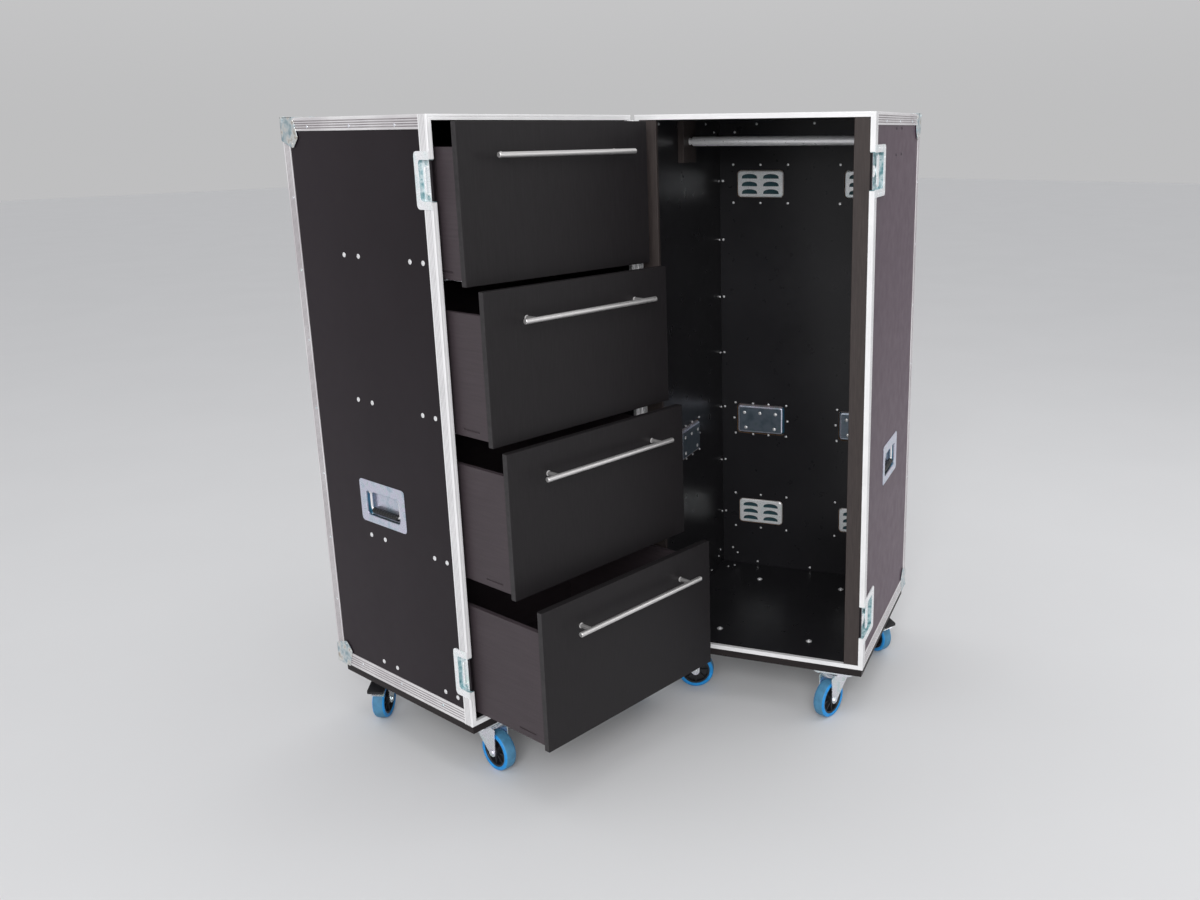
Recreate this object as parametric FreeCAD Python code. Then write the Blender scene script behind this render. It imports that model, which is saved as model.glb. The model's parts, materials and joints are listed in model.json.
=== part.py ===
import FreeCAD, Part
import math
import os

"""Wardrobe trunk on castors: a tall case in two halves on one upright hinge.

The drawer half holds four drawers, the wardrobe half a hanging rail.
Millimetres, +Z up. The origin is on the floor, under the hinge pin's axis.

Each half is first drawn shut. There a piece's place is given by
  across: from the half's hinge-side outer face to its free side,
  depth:  from the closing plane into the half,
  z:      above the floor.
The drawer half lies at +Y and the wardrobe half at -Y, which is then swung open.
"""

Vector = FreeCAD.Vector
UP = Vector(0, 0, 1)

# ---- The case: outside sizes -------------------------------------------------
WIDTH = 600.0
BOX_HEIGHT = 1400.0
DRAWER_CASE_DEPTH = 565.0
WARDROBE_DEPTH = 600.0
PIN_OFFSET = 5.0              # hinge pin's axis to the hinge-side outer face
OPEN_ANGLE = 110.0            # how far the wardrobe half stands open
SHUT_GAP = 1.0                # between the two closing frames when shut

# ---- Walls and edge trim -----------------------------------------------------
PANEL = 9.5
TRIM = 2.0                    # thickness of the aluminium, all round the case
CLOSING_FLANGE = 12.0         # width of the closing frame's face
CLOSING_LEG = 30.0            # how far it reaches along the walls
ANGLE_LEG = 30.0
BOTTOM_ANGLE_LEG = 38.0       # the bottom angles stand higher on the walls
CORNER_LEG = 69.0             # ball corners: reach of their three leaves along the edges
CORNER_REACH = 83.0           # their reach from the case corner to the rivets' end
CORNER_SHEET = 1.5
BALL_SINK = 5.5               # depth of the ball's centre behind each face
BALL_PROUD = 0.5              # ball's radius over the case corner's distance

RIVET_RADIUS = 3.6
RIVET_TOP_RADIUS = 1.8
RIVET_HEAD = 1.4
RIVET_PITCH = 171.0
RIVET_EDGE = 21.0             # rivet line to the case's edge
RIVET_ENDS = {"drawer_case": 112.0, "wardrobe": 127.0}  # first rivet to a level edge's end
UPRIGHT_RIVET_END = 183.0
BOLT_RADIUS = 3.9
BOLT_TOP_RADIUS = 2.3
BOLT_HEAD = 2.0

# ---- Continuous hinge --------------------------------------------------------
PIN_RADIUS = 2.5
PIN_FIT = 0.05
KNUCKLE_RADIUS = 4.5
KNUCKLES = 31
KNUCKLE_GAP = 0.4
LEAF = 1.4
LEAF_WIDTH = 27.0
LEAF_STRAP = 7.0              # the leaf proper starts this far from the pin
HINGE_END_GAP = 12.0

# ---- Castors -----------------------------------------------------------------
CASTOR_HEIGHT = 128.0
WHEEL_RADIUS = 50.0
TYRE_WIDTH = 32.0
TYRE = 11.0                   # thickness of the tyre on its rim
TYRE_ROUND = 5.5              # radius of its shoulders
RIM_WIDTH = 27.0
RIM_FLANGE = 4.0
RIM_WEB = 9.5
HUB_RADIUS = 13.0
TRAIL = 36.0                  # swivel axis to wheel axle
AXLE_RADIUS = 5.0
RUN_FIT = 0.06                # radial play of pins and axles
AXLE_HEAD_RADIUS = 8.0
AXLE_HEAD = 4.0
FORK_SHEET = 3.0
FORK_PLAY = 2.0               # tyre to fork leg, each side
CROWN_RADIUS = 31.0
CROWN_HEIGHT = 12.0
RACE_RADIUS = 34.0
RACE_HEIGHT = 6.0
RACE_GAP = 0.3
KINGPIN_RADIUS = 6.0
KINGPIN_END_GAP = 1.0         # below the castor board
LEG_TOP_BACK = 42.0           # a fork leg's reach behind and before the kingpin
LEG_TOP_FRONT = 50.0
LEG_SHOULDER = 4.0            # its widest level, above the axle
LEG_FOOT = 9.0                # half its width at its rounded foot
PLATE_WIDE = 85.0
PLATE_LONG = 105.0
PLATE = 4.0
PLATE_HOLE = 4.5
PLATE_HOLE_INSET = 12.0
PLATE_SIDE_GAP = 24.5         # plate to the castor board's side edge
REAR_AXIS_INSET = {"drawer_case": 93.0, "wardrobe": 150.0}   # swivel axis to the back
PEDAL_GAP = 3.0               # brake band above the tyre
PEDAL_BAND = 4.0
PEDAL_FROM = 34.0             # the band's ends, as angles round the axle
PEDAL_TO = 88.0
PEDAL_TAB_FROM = 15.0         # the foot tab's ends, beyond the axle
PEDAL_TAB_TO = 59.0
PEDAL_TAB_RISE = 6.0          # its top above the band, and how far that slopes down
PEDAL_TAB_FALL = 14.0
PEDAL_TAB_THICK = 11.0        # at the band; half as thick at the toe
PEDAL_TAB_WIDE = 44.0
FRONT_TURNS = {"drawer_case": (-92.0, -60.0), "wardrobe": (70.0, -162.0)}
REAR_TURNS = {"drawer_case": (-144.0, 100.0), "wardrobe": (146.0, -80.0)}

# ---- Castor boards -----------------------------------------------------------
BOARD = 20.0
BOARD_INSET = 3.0
BOARD_BACK_INSET = 30.0
BOARD_BOLT_WIDE = 258.0
BOARD_BOLT_LONG = 370.0

# ---- Drawers -----------------------------------------------------------------
DRAWERS = 4
DRAWERS_OUT = (65.5, 118.7, 162.3, 245.8)   # pulled out from shut, top to bottom
FRONT_SETBACK = 1.5           # shut front behind the closing plane
FRONT_END_GAP = 15.0          # first and last front to the case's ends
FRONT_GAP = 5.5
FRONT_FREE_GAP = 22.5         # front's edge to the case's free side
FRONT_HINGE_GAP = 13.5
FRONT_THICK = 17.0
DRAWER_WALL = 12.0
DRAWER_BASE = 8.0
DRAWER_BASE_RISE = 10.0
DRAWER_DEPTH = 500.0
SIDE_ABOVE_FRONT_BOTTOM = 12.5
SIDE_BELOW_FRONT_TOP = 51.0
GROOVE = (26.5, 84.0)         # grooves in the sides, from their front ends
GROOVE_HIGH = 4.0
GROOVE_DEEP = 2.5
GROOVE_RISE = 14.5            # above the sides' lower edges
BAR_RADIUS = 6.0
BAR_LENGTH = 408.0
BAR_STANDOFF = 36.0           # bar's axis to the front's face
BAR_DROP = 68.0               # bar's axis below the front's top
POST_PITCH = 337.0
POST_RADIUS = 5.0

# ---- Drawer slides -----------------------------------------------------------
SLIDE_SPACE = 13.0            # case wall to drawer side
SLIDE_SHEET = 1.5
SLIDE_PLAY = 0.4
SLIDE_RISE = 46.0             # its bolts above the front's bottom edge
RAIL_OVER_BOLTS = 14.0        # the outer rail's reach up the wall
RAIL_FLOOR_RISE = 7.0         # its shelf's underside over the front's bottom edge
RAIL_LIP = 12.0               # height of the upright lip on the shelf's edge
RUNNER_WIDE = 18.0
SLIDE_SETBACK = 28.0
SLIDE_LENGTH = 490.0
SLIDE_BOLTS = (24.0, 71.0, 268.0, 325.5)    # from the slide's front end

# ---- Recessed handles --------------------------------------------------------
HANDLE_DRAWER = 2             # its slide is the next below the handles
HANDLE_OVER_SLIDE = 89.0      # handles' middle above that slide's bolts
DRAWER_CASE_HANDLE_DEPTH = 292.0
DISH_WIDE = 183.0
DISH_HIGH = 108.0
DISH_SHEET = 1.5
PLATE_CORNER = 10.0           # corner radius of handle, vent and latch plates
PAN_WIDE = 152.0
PAN_HIGH = 92.0
PAN_DEPTH = 17.0
PAN_SHEET = 1.2
PAN_FIT = 0.5                 # pan to the edge of its hole in the wall
MOUTH_WIDE = 141.0
MOUTH_TOP = 28.0              # the mouth's edges from the dish's middle
MOUTH_BOTTOM = -38.0
BAIL_PIVOT_HEIGHT = 22.0
BAIL_PIVOT_DEPTH = 7.5
BAIL_PIN_RADIUS = 2.5
BAIL_ARM = 46.0               # pivot to grip
BAIL_ARM_WIDE = 6.0
BAIL_ARM_THICK = 5.0
BAIL_WIDE = 124.0
GRIP_RADIUS = 7.5
GRIP_CORE_RADIUS = 3.0
GRIP_END_GAP = 0.5
BACK_DISH_GAP = 16.5          # back handles' plates to the edge angles

# ---- Louvre vents ------------------------------------------------------------
VENT_WIDE = 184.0
VENT_HIGH = 126.0
VENT_PAN_WIDE = 142.0
VENT_PAN_HIGH = 78.0
VENT_PAN_DEPTH = 12.5
VENT_TOP_DROP = 191.0         # upper vents' middle below the box's top
VENT_BOTTOM_RISE = 192.0
SLOT_ROWS = 3
SLOT_WIDE = 54.0
SLOT_HIGH = 11.0
SLOT_PITCH = 22.0
SLOT_COLUMN = 33.0            # slot's middle from the vent's middle

# ---- Recessed latches --------------------------------------------------------
LATCH_INSET = 134.0           # latches' middle to the box's top and bottom
LATCH_PLATE_HIGH = 120.0
LATCH_PLATE_LONG = 119.0
KEEPER_PLATE_LONG = 52.0
LATCH_SHEET = 1.5
LATCH_PAN_HIGH = 87.0
LATCH_PAN_LONG = 100.0
KEEPER_PAN_LONG = 40.0
WING_DEPTH = 56.0             # wing's axis behind the closing plane
WING_LONG = 76.0
WING_WIDE = 24.0
WING_THICK = 2.5
WING_ROUND = 9.6
WING_BOSS_RADIUS = 14.0
WING_BOSS = 4.0
WING_PIN_RADIUS = 4.0
WING_GAP = 0.3
KEEPER_BAR = 4.0
KEEPER_BAR_HIGH = 56.0
KEEPER_BAR_DEPTH = 20.0

# ---- Inside the wardrobe half ------------------------------------------------
STILE = 12.0
FREE_STILE_WIDE = 39.0
HINGE_STILE_WIDE = 44.0
RAIL_RADIUS = 12.5
RAIL_WALL = 1.5
RAIL_DROP = 66.0              # rail's axis below the box's top
RAIL_DEPTH = 300.0
RAIL_PEG_RADIUS = 8.0         # the rail's end pegs, between pad and tube
RAIL_PEG = 10.0
RAIL_PLUG = 20.0              # their reach inside the tube
SOCKET_FIT = 0.05
RAIL_PAD = 18.0
RAIL_PAD_WIDE = 90.0
RAIL_PAD_HIGH = 110.0
PAD_BOLT_SPREAD = 35.0
PAD_BOLT_DROPS = (38.0, 102.0)

# ---- Worked out from the sizes above -----------------------------------------
BOX_BOTTOM = CASTOR_HEIGHT + BOARD
BOX_TOP = BOX_BOTTOM + BOX_HEIGHT
WALL = TRIM + PANEL           # outside face to the walls' inner face
CLOSING_FACE = SHUT_GAP / 2
PANEL_FRONT = CLOSING_FACE + TRIM
INNER_BOTTOM = BOX_BOTTOM + WALL
INNER_TOP = BOX_TOP - WALL
INNER_FREE = WIDTH - WALL
LATCH_HEIGHTS = (BOX_TOP - LATCH_INSET, BOX_BOTTOM + LATCH_INSET)
FRONT_HEIGHT = (BOX_HEIGHT - 2 * FRONT_END_GAP - (DRAWERS - 1) * FRONT_GAP) / DRAWERS
BACK_SPREAD = WIDTH / 2 - ANGLE_LEG - BACK_DISH_GAP - DISH_WIDE / 2
DEPTHS = {"drawer_case": DRAWER_CASE_DEPTH, "wardrobe": WARDROBE_DEPTH}
SIDES = {"drawer_case": 1.0, "wardrobe": -1.0}


# ---- Drawing helpers ---------------------------------------------------------
def place(half, across, depth, z):
    """The point at these distances in the shut half."""
    return Vector(-(PIN_OFFSET + across), SIDES[half] * depth, z)


def block(half, across, depth, z):
    """A box between pairs of distances across, in depth and in height."""
    first = place(half, across[0], depth[0], z[0])
    last = place(half, across[1], depth[1], z[1])
    low = Vector(min(first.x, last.x), min(first.y, last.y), min(first.z, last.z))
    size = Vector(abs(first.x - last.x), abs(first.y - last.y), abs(first.z - last.z))
    return Part.makeBox(size.x, size.y, size.z, low)


def centred_box(wide, high, low_z, high_z, middle=(0.0, 0.0)):
    """A box in a wall's own frame: X along the wall, Y up, Z outwards."""
    corner = Vector(middle[0] - wide / 2, middle[1] - high / 2, low_z)
    return Part.makeBox(wide, high, high_z - low_z, corner)


def rounded_plate(wide, high, thick):
    """A plate on a wall's face, with its four corners rounded."""
    plate = centred_box(wide, high, 0, thick)
    corners = [edge for edge in plate.Edges if edge.BoundBox.ZLength > thick / 2]
    return plate.makeFillet(PLATE_CORNER, corners)


def fused(shapes):
    whole = shapes[0]
    for shape in shapes[1:]:
        whole = whole.fuse(shape)
    return whole.removeSplitter()


def extruded(points, sweep):
    """A prism on the closed polygon through these points."""
    return Part.Face(Part.makePolygon(points + points[:1])).extrude(sweep)


def normal_of(half, wall):
    """The outward direction of a wall of the shut half."""
    if wall == "free":
        return Vector(-1, 0, 0)
    if wall == "hinge":
        return Vector(1, 0, 0)
    return Vector(0, SIDES[half], 0)


def wall_frame(half, wall, along, z, sink=TRIM):
    """The wall's own frame, with its origin this far behind the outside face."""
    outward = normal_of(half, wall)
    level = UP.cross(outward)
    if wall == "back":
        origin = place(half, along, DEPTHS[half] - sink, z)
    elif wall == "free":
        origin = place(half, WIDTH - sink, along, z)
    else:
        origin = place(half, sink, along, z)
    matrix = FreeCAD.Matrix(
        level.x, UP.x, outward.x, origin.x,
        level.y, UP.y, outward.y, origin.y,
        level.z, UP.z, outward.z, origin.z,
        0, 0, 0, 1)
    return FreeCAD.Placement(matrix)


def placed(shape, frame):
    moved = shape.copy()
    moved.Placement = frame.multiply(moved.Placement)
    return moved


def stand(half, shape):
    """Swing a piece of the wardrobe half open; the drawer half stays."""
    if half == "wardrobe":
        shape = shape.copy()
        shape.rotate(Vector(0, 0, 0), UP, OPEN_ANGLE)
    return shape


def save(name, solids):
    Part.makeCompound(solids).exportStep("parts/" + name + ".step")


def spread(start, end, pitch):
    """Evenly spaced places from start to end, about a pitch apart."""
    count = max(2, int(round((end - start) / pitch)) + 1)
    return [start + (end - start) * i / (count - 1) for i in range(count)]


# ---- Where the drawers, handles, vents and latches sit -----------------------
def front_bottom(number):
    """Height of the front's lower edge; drawer 0 is the top one."""
    below = DRAWERS - 1 - number
    return BOX_BOTTOM + FRONT_END_GAP + below * (FRONT_HEIGHT + FRONT_GAP)


def slide_heights():
    return [front_bottom(i) + SLIDE_RISE for i in range(DRAWERS)]


def handle_frames(half):
    """Name and wall frame of each recessed handle."""
    z = slide_heights()[HANDLE_DRAWER] + HANDLE_OVER_SLIDE
    if half == "drawer_case":
        return {"free_side": wall_frame(half, "free", DRAWER_CASE_HANDLE_DEPTH, z)}
    middle = WIDTH / 2
    return {
        "free_side": wall_frame(half, "free", WARDROBE_DEPTH / 2, z),
        "hinge_side": wall_frame(half, "hinge", WARDROBE_DEPTH / 2, z),
        "back_free": wall_frame(half, "back", middle + BACK_SPREAD, z),
        "back_hinge": wall_frame(half, "back", middle - BACK_SPREAD, z),
    }


def vent_frames():
    heights = (BOX_TOP - VENT_TOP_DROP, BOX_BOTTOM + VENT_BOTTOM_RISE)
    places = (WIDTH / 2 - BACK_SPREAD, WIDTH / 2 + BACK_SPREAD)
    return [wall_frame("wardrobe", "back", a, z) for z in heights for a in places]


def latch_hole(half, z):
    """The room that a latch or keeper pan takes in the free side."""
    reach = LATCH_PAN_LONG if half == "wardrobe" else KEEPER_PAN_LONG
    margin = LATCH_PAN_HIGH / 2
    return block(half, (INNER_FREE - 1, WIDTH + 1), (-1, reach + PAN_FIT),
                 (z - margin - PAN_FIT, z + margin + PAN_FIT))


# ---- Walls -------------------------------------------------------------------
def side_panels(half):
    depth = (PANEL_FRONT, DEPTHS[half] - TRIM)
    height = (BOX_BOTTOM + TRIM, BOX_TOP - TRIM)
    free = block(half, (INNER_FREE, WIDTH - TRIM), depth, height)
    hinge = block(half, (TRIM, WALL), depth, height)
    hole = centred_box(PAN_WIDE + 2 * PAN_FIT, PAN_HIGH + 2 * PAN_FIT, -PANEL - 1, 1)
    frames = handle_frames(half)
    free = free.cut(placed(hole, frames["free_side"]))
    if "hinge_side" in frames:
        hinge = hinge.cut(placed(hole, frames["hinge_side"]))
    for z in LATCH_HEIGHTS:
        free = free.cut(latch_hole(half, z))
    return [free, hinge]


def back_panel(half):
    depth = DEPTHS[half]
    back = block(half, (WALL, INNER_FREE), (depth - WALL, depth - TRIM),
                 (BOX_BOTTOM + TRIM, BOX_TOP - TRIM))
    if half == "drawer_case":
        return [back]
    handle = centred_box(PAN_WIDE + 2 * PAN_FIT, PAN_HIGH + 2 * PAN_FIT, -PANEL - 1, 1)
    for name, frame in handle_frames(half).items():
        if name.startswith("back"):
            back = back.cut(placed(handle, frame))
    vent = centred_box(VENT_PAN_WIDE + 2 * PAN_FIT, VENT_PAN_HIGH + 2 * PAN_FIT,
                       -PANEL - 1, 1)
    for frame in vent_frames():
        back = back.cut(placed(vent, frame))
    return [back]


def end_panels(half):
    """The top and the bottom, between the sides and in front of the back."""
    depth = (PANEL_FRONT, DEPTHS[half] - WALL)
    top = block(half, (WALL, INNER_FREE), depth, (INNER_TOP, BOX_TOP - TRIM))
    bottom = block(half, (WALL, INNER_FREE), depth, (BOX_BOTTOM + TRIM, INNER_BOTTOM))
    return [top, bottom]


# ---- Aluminium edges ---------------------------------------------------------
def mitred_bar(half, edge, thick, depth):
    """One side of a rectangular ring round the closing plane, mitred at its ends."""
    outer = [(0, BOX_BOTTOM), (WIDTH, BOX_BOTTOM), (WIDTH, BOX_TOP), (0, BOX_TOP)]
    inner = [(thick, BOX_BOTTOM + thick), (WIDTH - thick, BOX_BOTTOM + thick),
             (WIDTH - thick, BOX_TOP - thick), (thick, BOX_TOP - thick)]
    after = (edge + 1) % 4
    ring = [outer[edge], outer[after], inner[after], inner[edge]]
    points = [place(half, a, depth[0], z) for a, z in ring]
    sweep = Vector(0, SIDES[half] * (depth[1] - depth[0]), 0)
    return extruded(points, sweep)


def closing_frame(half):
    lengths = []
    for edge in range(4):
        face = mitred_bar(half, edge, CLOSING_FLANGE, (CLOSING_FACE, PANEL_FRONT))
        leg = mitred_bar(half, edge, TRIM, (CLOSING_FACE, CLOSING_LEG))
        length = fused([face, leg])
        for z in LATCH_HEIGHTS:
            length = length.cut(latch_hole(half, z))
        lengths += length.Solids
    return lengths


def edge_angles(half):
    """Angles on the edges behind the closing frame, butted at the back corners."""
    depth = DEPTHS[half]
    ends = ((BOX_TOP, BOX_TOP - TRIM, BOX_TOP - ANGLE_LEG),
            (BOX_BOTTOM, BOX_BOTTOM + TRIM, BOX_BOTTOM + BOTTOM_ANGLE_LEG))
    angles = []
    for edge, sheet, leg in ends:
        for outside, inside, reach in ((0, TRIM, ANGLE_LEG),
                                       (WIDTH, WIDTH - TRIM, WIDTH - ANGLE_LEG)):
            run = (CLOSING_LEG, depth)
            angles.append(fused([block(half, (outside, reach), run, (edge, sheet)),
                                 block(half, (outside, inside), run, (edge, leg))]))
        across = (ANGLE_LEG, WIDTH - ANGLE_LEG)
        angles.append(fused([
            block(half, across, (depth - ANGLE_LEG, depth), (edge, sheet)),
            block(half, across, (depth - TRIM, depth), (edge, leg))]))
    height = (BOX_BOTTOM + BOTTOM_ANGLE_LEG, BOX_TOP - ANGLE_LEG)
    for outside, inside, reach in ((0, TRIM, ANGLE_LEG),
                                   (WIDTH, WIDTH - TRIM, WIDTH - ANGLE_LEG)):
        angles.append(fused([
            block(half, (outside, inside), (depth - ANGLE_LEG, depth), height),
            block(half, (outside, reach), (depth - TRIM, depth), height)]))
    return angles


def ball_corner(half, across, inward, z, inside):
    """A pressed cap on a back corner: three leaves and a ball."""
    depth = DEPTHS[half]
    long = CORNER_LEG
    cap = block(half, (across - inward * CORNER_SHEET, across + inward * long),
                (depth - long, depth + CORNER_SHEET),
                (z - inside * CORNER_SHEET, z + inside * long))
    corner = place(half, across, depth, z)
    cap = cap.common(Part.makeSphere(CORNER_REACH, corner))
    centre = place(half, across + inward * BALL_SINK, depth - BALL_SINK,
                   z + inside * BALL_SINK)
    ball = Part.makeSphere(BALL_SINK * math.sqrt(3) + BALL_PROUD, centre)
    case = block(half, (across, across + inward * 2 * long), (depth - 2 * long, depth),
                 (z, z + inside * 2 * long))
    shape = cap.fuse(ball).cut(case)
    if inside > 0:
        # The bottom corners stay off the castor board.
        below = block(half, (across - 2 * long, across + 2 * long),
                      (depth - 2 * long, depth + 2 * long), (z - 2 * long, z))
        shape = shape.cut(below)
    return shape.Solids


def edge_trim(half):
    solids = edge_angles(half)
    for across, inward in ((0, 1), (WIDTH, -1)):
        for z, inside in ((BOX_BOTTOM, 1), (BOX_TOP, -1)):
            solids += ball_corner(half, across, inward, z, inside)
    return solids


# ---- Rivets and bolts --------------------------------------------------------
def rivet(point, outward):
    return Part.makeCone(RIVET_RADIUS, RIVET_TOP_RADIUS, RIVET_HEAD, point, outward)


def bolt(point, outward):
    return Part.makeCone(BOLT_RADIUS, BOLT_TOP_RADIUS, BOLT_HEAD, point, outward)


def edge_rivets(half):
    depth = DEPTHS[half]
    end = RIVET_ENDS[half]
    uprights = spread(BOX_BOTTOM + UPRIGHT_RIVET_END, BOX_TOP - UPRIGHT_RIVET_END, RIVET_PITCH)
    levels = spread(end, depth - end, RIVET_PITCH)
    acrosses = spread(end, WIDTH - end, RIVET_PITCH)
    rows = (BOX_TOP - RIVET_EDGE, BOX_BOTTOM + RIVET_EDGE)
    rivets = []
    for wall, across in (("free", WIDTH), ("hinge", 0)):
        outward = normal_of(half, wall)
        rivets += [rivet(place(half, across, v, z), outward) for z in rows for v in levels]
        rivets += [rivet(place(half, across, depth - RIVET_EDGE, z), outward)
                   for z in uprights]
    outward = normal_of(half, "back")
    rivets += [rivet(place(half, a, depth, z), outward) for z in rows for a in acrosses]
    rivets += [rivet(place(half, a, depth, z), outward)
               for a in (RIVET_EDGE, WIDTH - RIVET_EDGE) for z in uprights]
    return rivets


def slide_bolts():
    bolts = []
    for wall, across in (("free", WIDTH - TRIM), ("hinge", TRIM)):
        outward = normal_of("drawer_case", wall)
        for z in slide_heights():
            for from_front in SLIDE_BOLTS:
                point = place("drawer_case", across, SLIDE_SETBACK + from_front, z)
                bolts.append(bolt(point, outward))
    return bolts


def rail_pad_bolts():
    bolts = []
    for wall, across in (("free", WIDTH - TRIM), ("hinge", TRIM)):
        outward = normal_of("wardrobe", wall)
        for drop in PAD_BOLT_DROPS:
            for sign in (-1, 1):
                depth = RAIL_DEPTH + sign * PAD_BOLT_SPREAD
                bolts.append(bolt(place("wardrobe", across, depth, BOX_TOP - drop), outward))
    return bolts


def board_bolts():
    """Bolts of the castor board, with their heads on the wardrobe half's floor."""
    middle = (BOARD_INSET + WARDROBE_DEPTH - BOARD_BACK_INSET) / 2
    return [bolt(place("wardrobe", WIDTH / 2 + a * BOARD_BOLT_WIDE / 2,
                       middle + v * BOARD_BOLT_LONG / 2, INNER_BOTTOM), UP)
            for a in (-1, 1) for v in (-1, 1)]


def fasteners(half):
    if half == "drawer_case":
        return edge_rivets(half) + slide_bolts()
    return edge_rivets(half) + rail_pad_bolts() + board_bolts()


# ---- Hinge -------------------------------------------------------------------
def hinge_leaf(half):
    """A leaf on the hinge side with every second knuckle."""
    low = BOX_BOTTOM + HINGE_END_GAP
    pitch = (BOX_HEIGHT - 2 * HINGE_END_GAP) / KNUCKLES
    first = 0 if half == "drawer_case" else 1
    pieces = [block(half, (-LEAF, 0), (LEAF_STRAP, LEAF_STRAP + LEAF_WIDTH),
                    (low, low + pitch * KNUCKLES))]
    for number in range(first, KNUCKLES, 2):
        start = low + number * pitch + KNUCKLE_GAP / 2
        long = pitch - KNUCKLE_GAP
        knuckle = Part.makeCylinder(KNUCKLE_RADIUS, long, Vector(0, 0, start), UP)
        strap = block(half, (-LEAF, 0), (0, LEAF_STRAP), (start, start + long))
        bore = Part.makeCylinder(PIN_RADIUS + PIN_FIT, long, Vector(0, 0, start), UP)
        pieces.append(knuckle.fuse(strap).cut(bore))
    return fused(pieces)


def hinge_pin():
    low = BOX_BOTTOM + HINGE_END_GAP
    return Part.makeCylinder(PIN_RADIUS, BOX_HEIGHT - 2 * HINGE_END_GAP,
                             Vector(0, 0, low), UP)


# ---- Castors and their boards ------------------------------------------------
def castor_places(half):
    """Name, place and turn of each swivel axis in the shut half."""
    near = BOARD_INSET + PLATE_SIDE_GAP + PLATE_LONG / 2
    front = BOARD_INSET + PLATE_WIDE / 2
    rear = DEPTHS[half] - REAR_AXIS_INSET[half]
    rows = []
    for end, depth, turns in (("front", front, FRONT_TURNS), ("rear", rear, REAR_TURNS)):
        for wall, across, turn in (("free", WIDTH - near, turns[half][0]),
                                   ("hinge", near, turns[half][1])):
            rows.append((half + "_" + end + "_" + wall, end == "rear", across, depth, turn))
    return rows


def castor_plate(half, across, depth):
    top = CASTOR_HEIGHT
    axis = place(half, across, depth, 0)
    plate = block(half, (across - PLATE_LONG / 2, across + PLATE_LONG / 2),
                  (depth - PLATE_WIDE / 2, depth + PLATE_WIDE / 2), (top - PLATE, top))
    race = Part.makeCylinder(RACE_RADIUS, RACE_HEIGHT,
                             axis + UP * (top - PLATE - RACE_HEIGHT), UP)
    shape = plate.fuse(race)
    shape = shape.cut(Part.makeCylinder(KINGPIN_RADIUS + RUN_FIT, top, axis, UP))
    wide = PLATE_WIDE / 2 - PLATE_HOLE_INSET
    long = PLATE_LONG / 2 - PLATE_HOLE_INSET
    for a in (-long, long):
        for v in (-wide, wide):
            hole = place(half, across + a, depth + v, 0)
            shape = shape.cut(Part.makeCylinder(PLATE_HOLE, top, hole, UP))
    return shape.removeSplitter()


def castor_board(half):
    depth = DEPTHS[half]
    board = block(half, (BOARD_INSET, WIDTH - BOARD_INSET),
                  (BOARD_INSET, depth - BOARD_BACK_INSET), (CASTOR_HEIGHT, BOX_BOTTOM))
    plates = [castor_plate(half, across, v) for _, _, across, v, _ in castor_places(half)]
    return [board] + plates


def fork_leg(side):
    """A leg of the fork, beside the wheel; side is -1 or 1."""
    crown_top = CASTOR_HEIGHT - PLATE - RACE_HEIGHT - RACE_GAP
    inner = TYRE_WIDTH / 2 + FORK_PLAY
    start = inner if side > 0 else -inner - FORK_SHEET
    low = WHEEL_RADIUS - HUB_RADIUS
    wide = WHEEL_RADIUS + LEG_SHOULDER
    outline = [(-LEG_TOP_BACK, crown_top), (LEG_TOP_FRONT, crown_top),
               (TRAIL + HUB_RADIUS, wide), (TRAIL + LEG_FOOT, low),
               (TRAIL - LEG_FOOT, low), (TRAIL - HUB_RADIUS, wide)]
    points = [Vector(x, start, z) for x, z in outline]
    leg = extruded(points, Vector(0, FORK_SHEET, 0))
    hole = Part.makeCylinder(AXLE_RADIUS, FORK_SHEET, Vector(TRAIL, start, WHEEL_RADIUS),
                             Vector(0, 1, 0))
    return leg.cut(hole)


def fork_solids(braked):
    """Crown, legs and kingpin as one pressing, then the axle and any brake pedal."""
    crown_top = CASTOR_HEIGHT - PLATE - RACE_HEIGHT - RACE_GAP
    crown = Part.makeCylinder(CROWN_RADIUS, CROWN_HEIGHT,
                              Vector(0, 0, crown_top - CROWN_HEIGHT), UP)
    kingpin_top = CASTOR_HEIGHT - KINGPIN_END_GAP
    kingpin = Part.makeCylinder(KINGPIN_RADIUS, kingpin_top - crown_top + CROWN_HEIGHT,
                                Vector(0, 0, crown_top - CROWN_HEIGHT), UP)
    fork = fused([crown, kingpin, fork_leg(-1), fork_leg(1)])
    outer = TYRE_WIDTH / 2 + FORK_PLAY + FORK_SHEET
    across = Vector(0, 1, 0)
    axle = Part.makeCylinder(AXLE_RADIUS, 2 * outer, Vector(TRAIL, -outer, WHEEL_RADIUS),
                             across)
    for start in (-outer - AXLE_HEAD, outer):
        head = Part.makeCylinder(AXLE_HEAD_RADIUS, AXLE_HEAD,
                                 Vector(TRAIL, start, WHEEL_RADIUS), across)
        axle = axle.fuse(head)
    solids = [fork, axle]
    if braked:
        solids.append(brake_pedal())
    return solids


def round_axle(radius, angle, start):
    """The point at this radius and angle round the axle, start across the wheel."""
    turn = math.radians(angle)
    return Vector(TRAIL + radius * math.cos(turn), start, WHEEL_RADIUS + radius * math.sin(turn))


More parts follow.
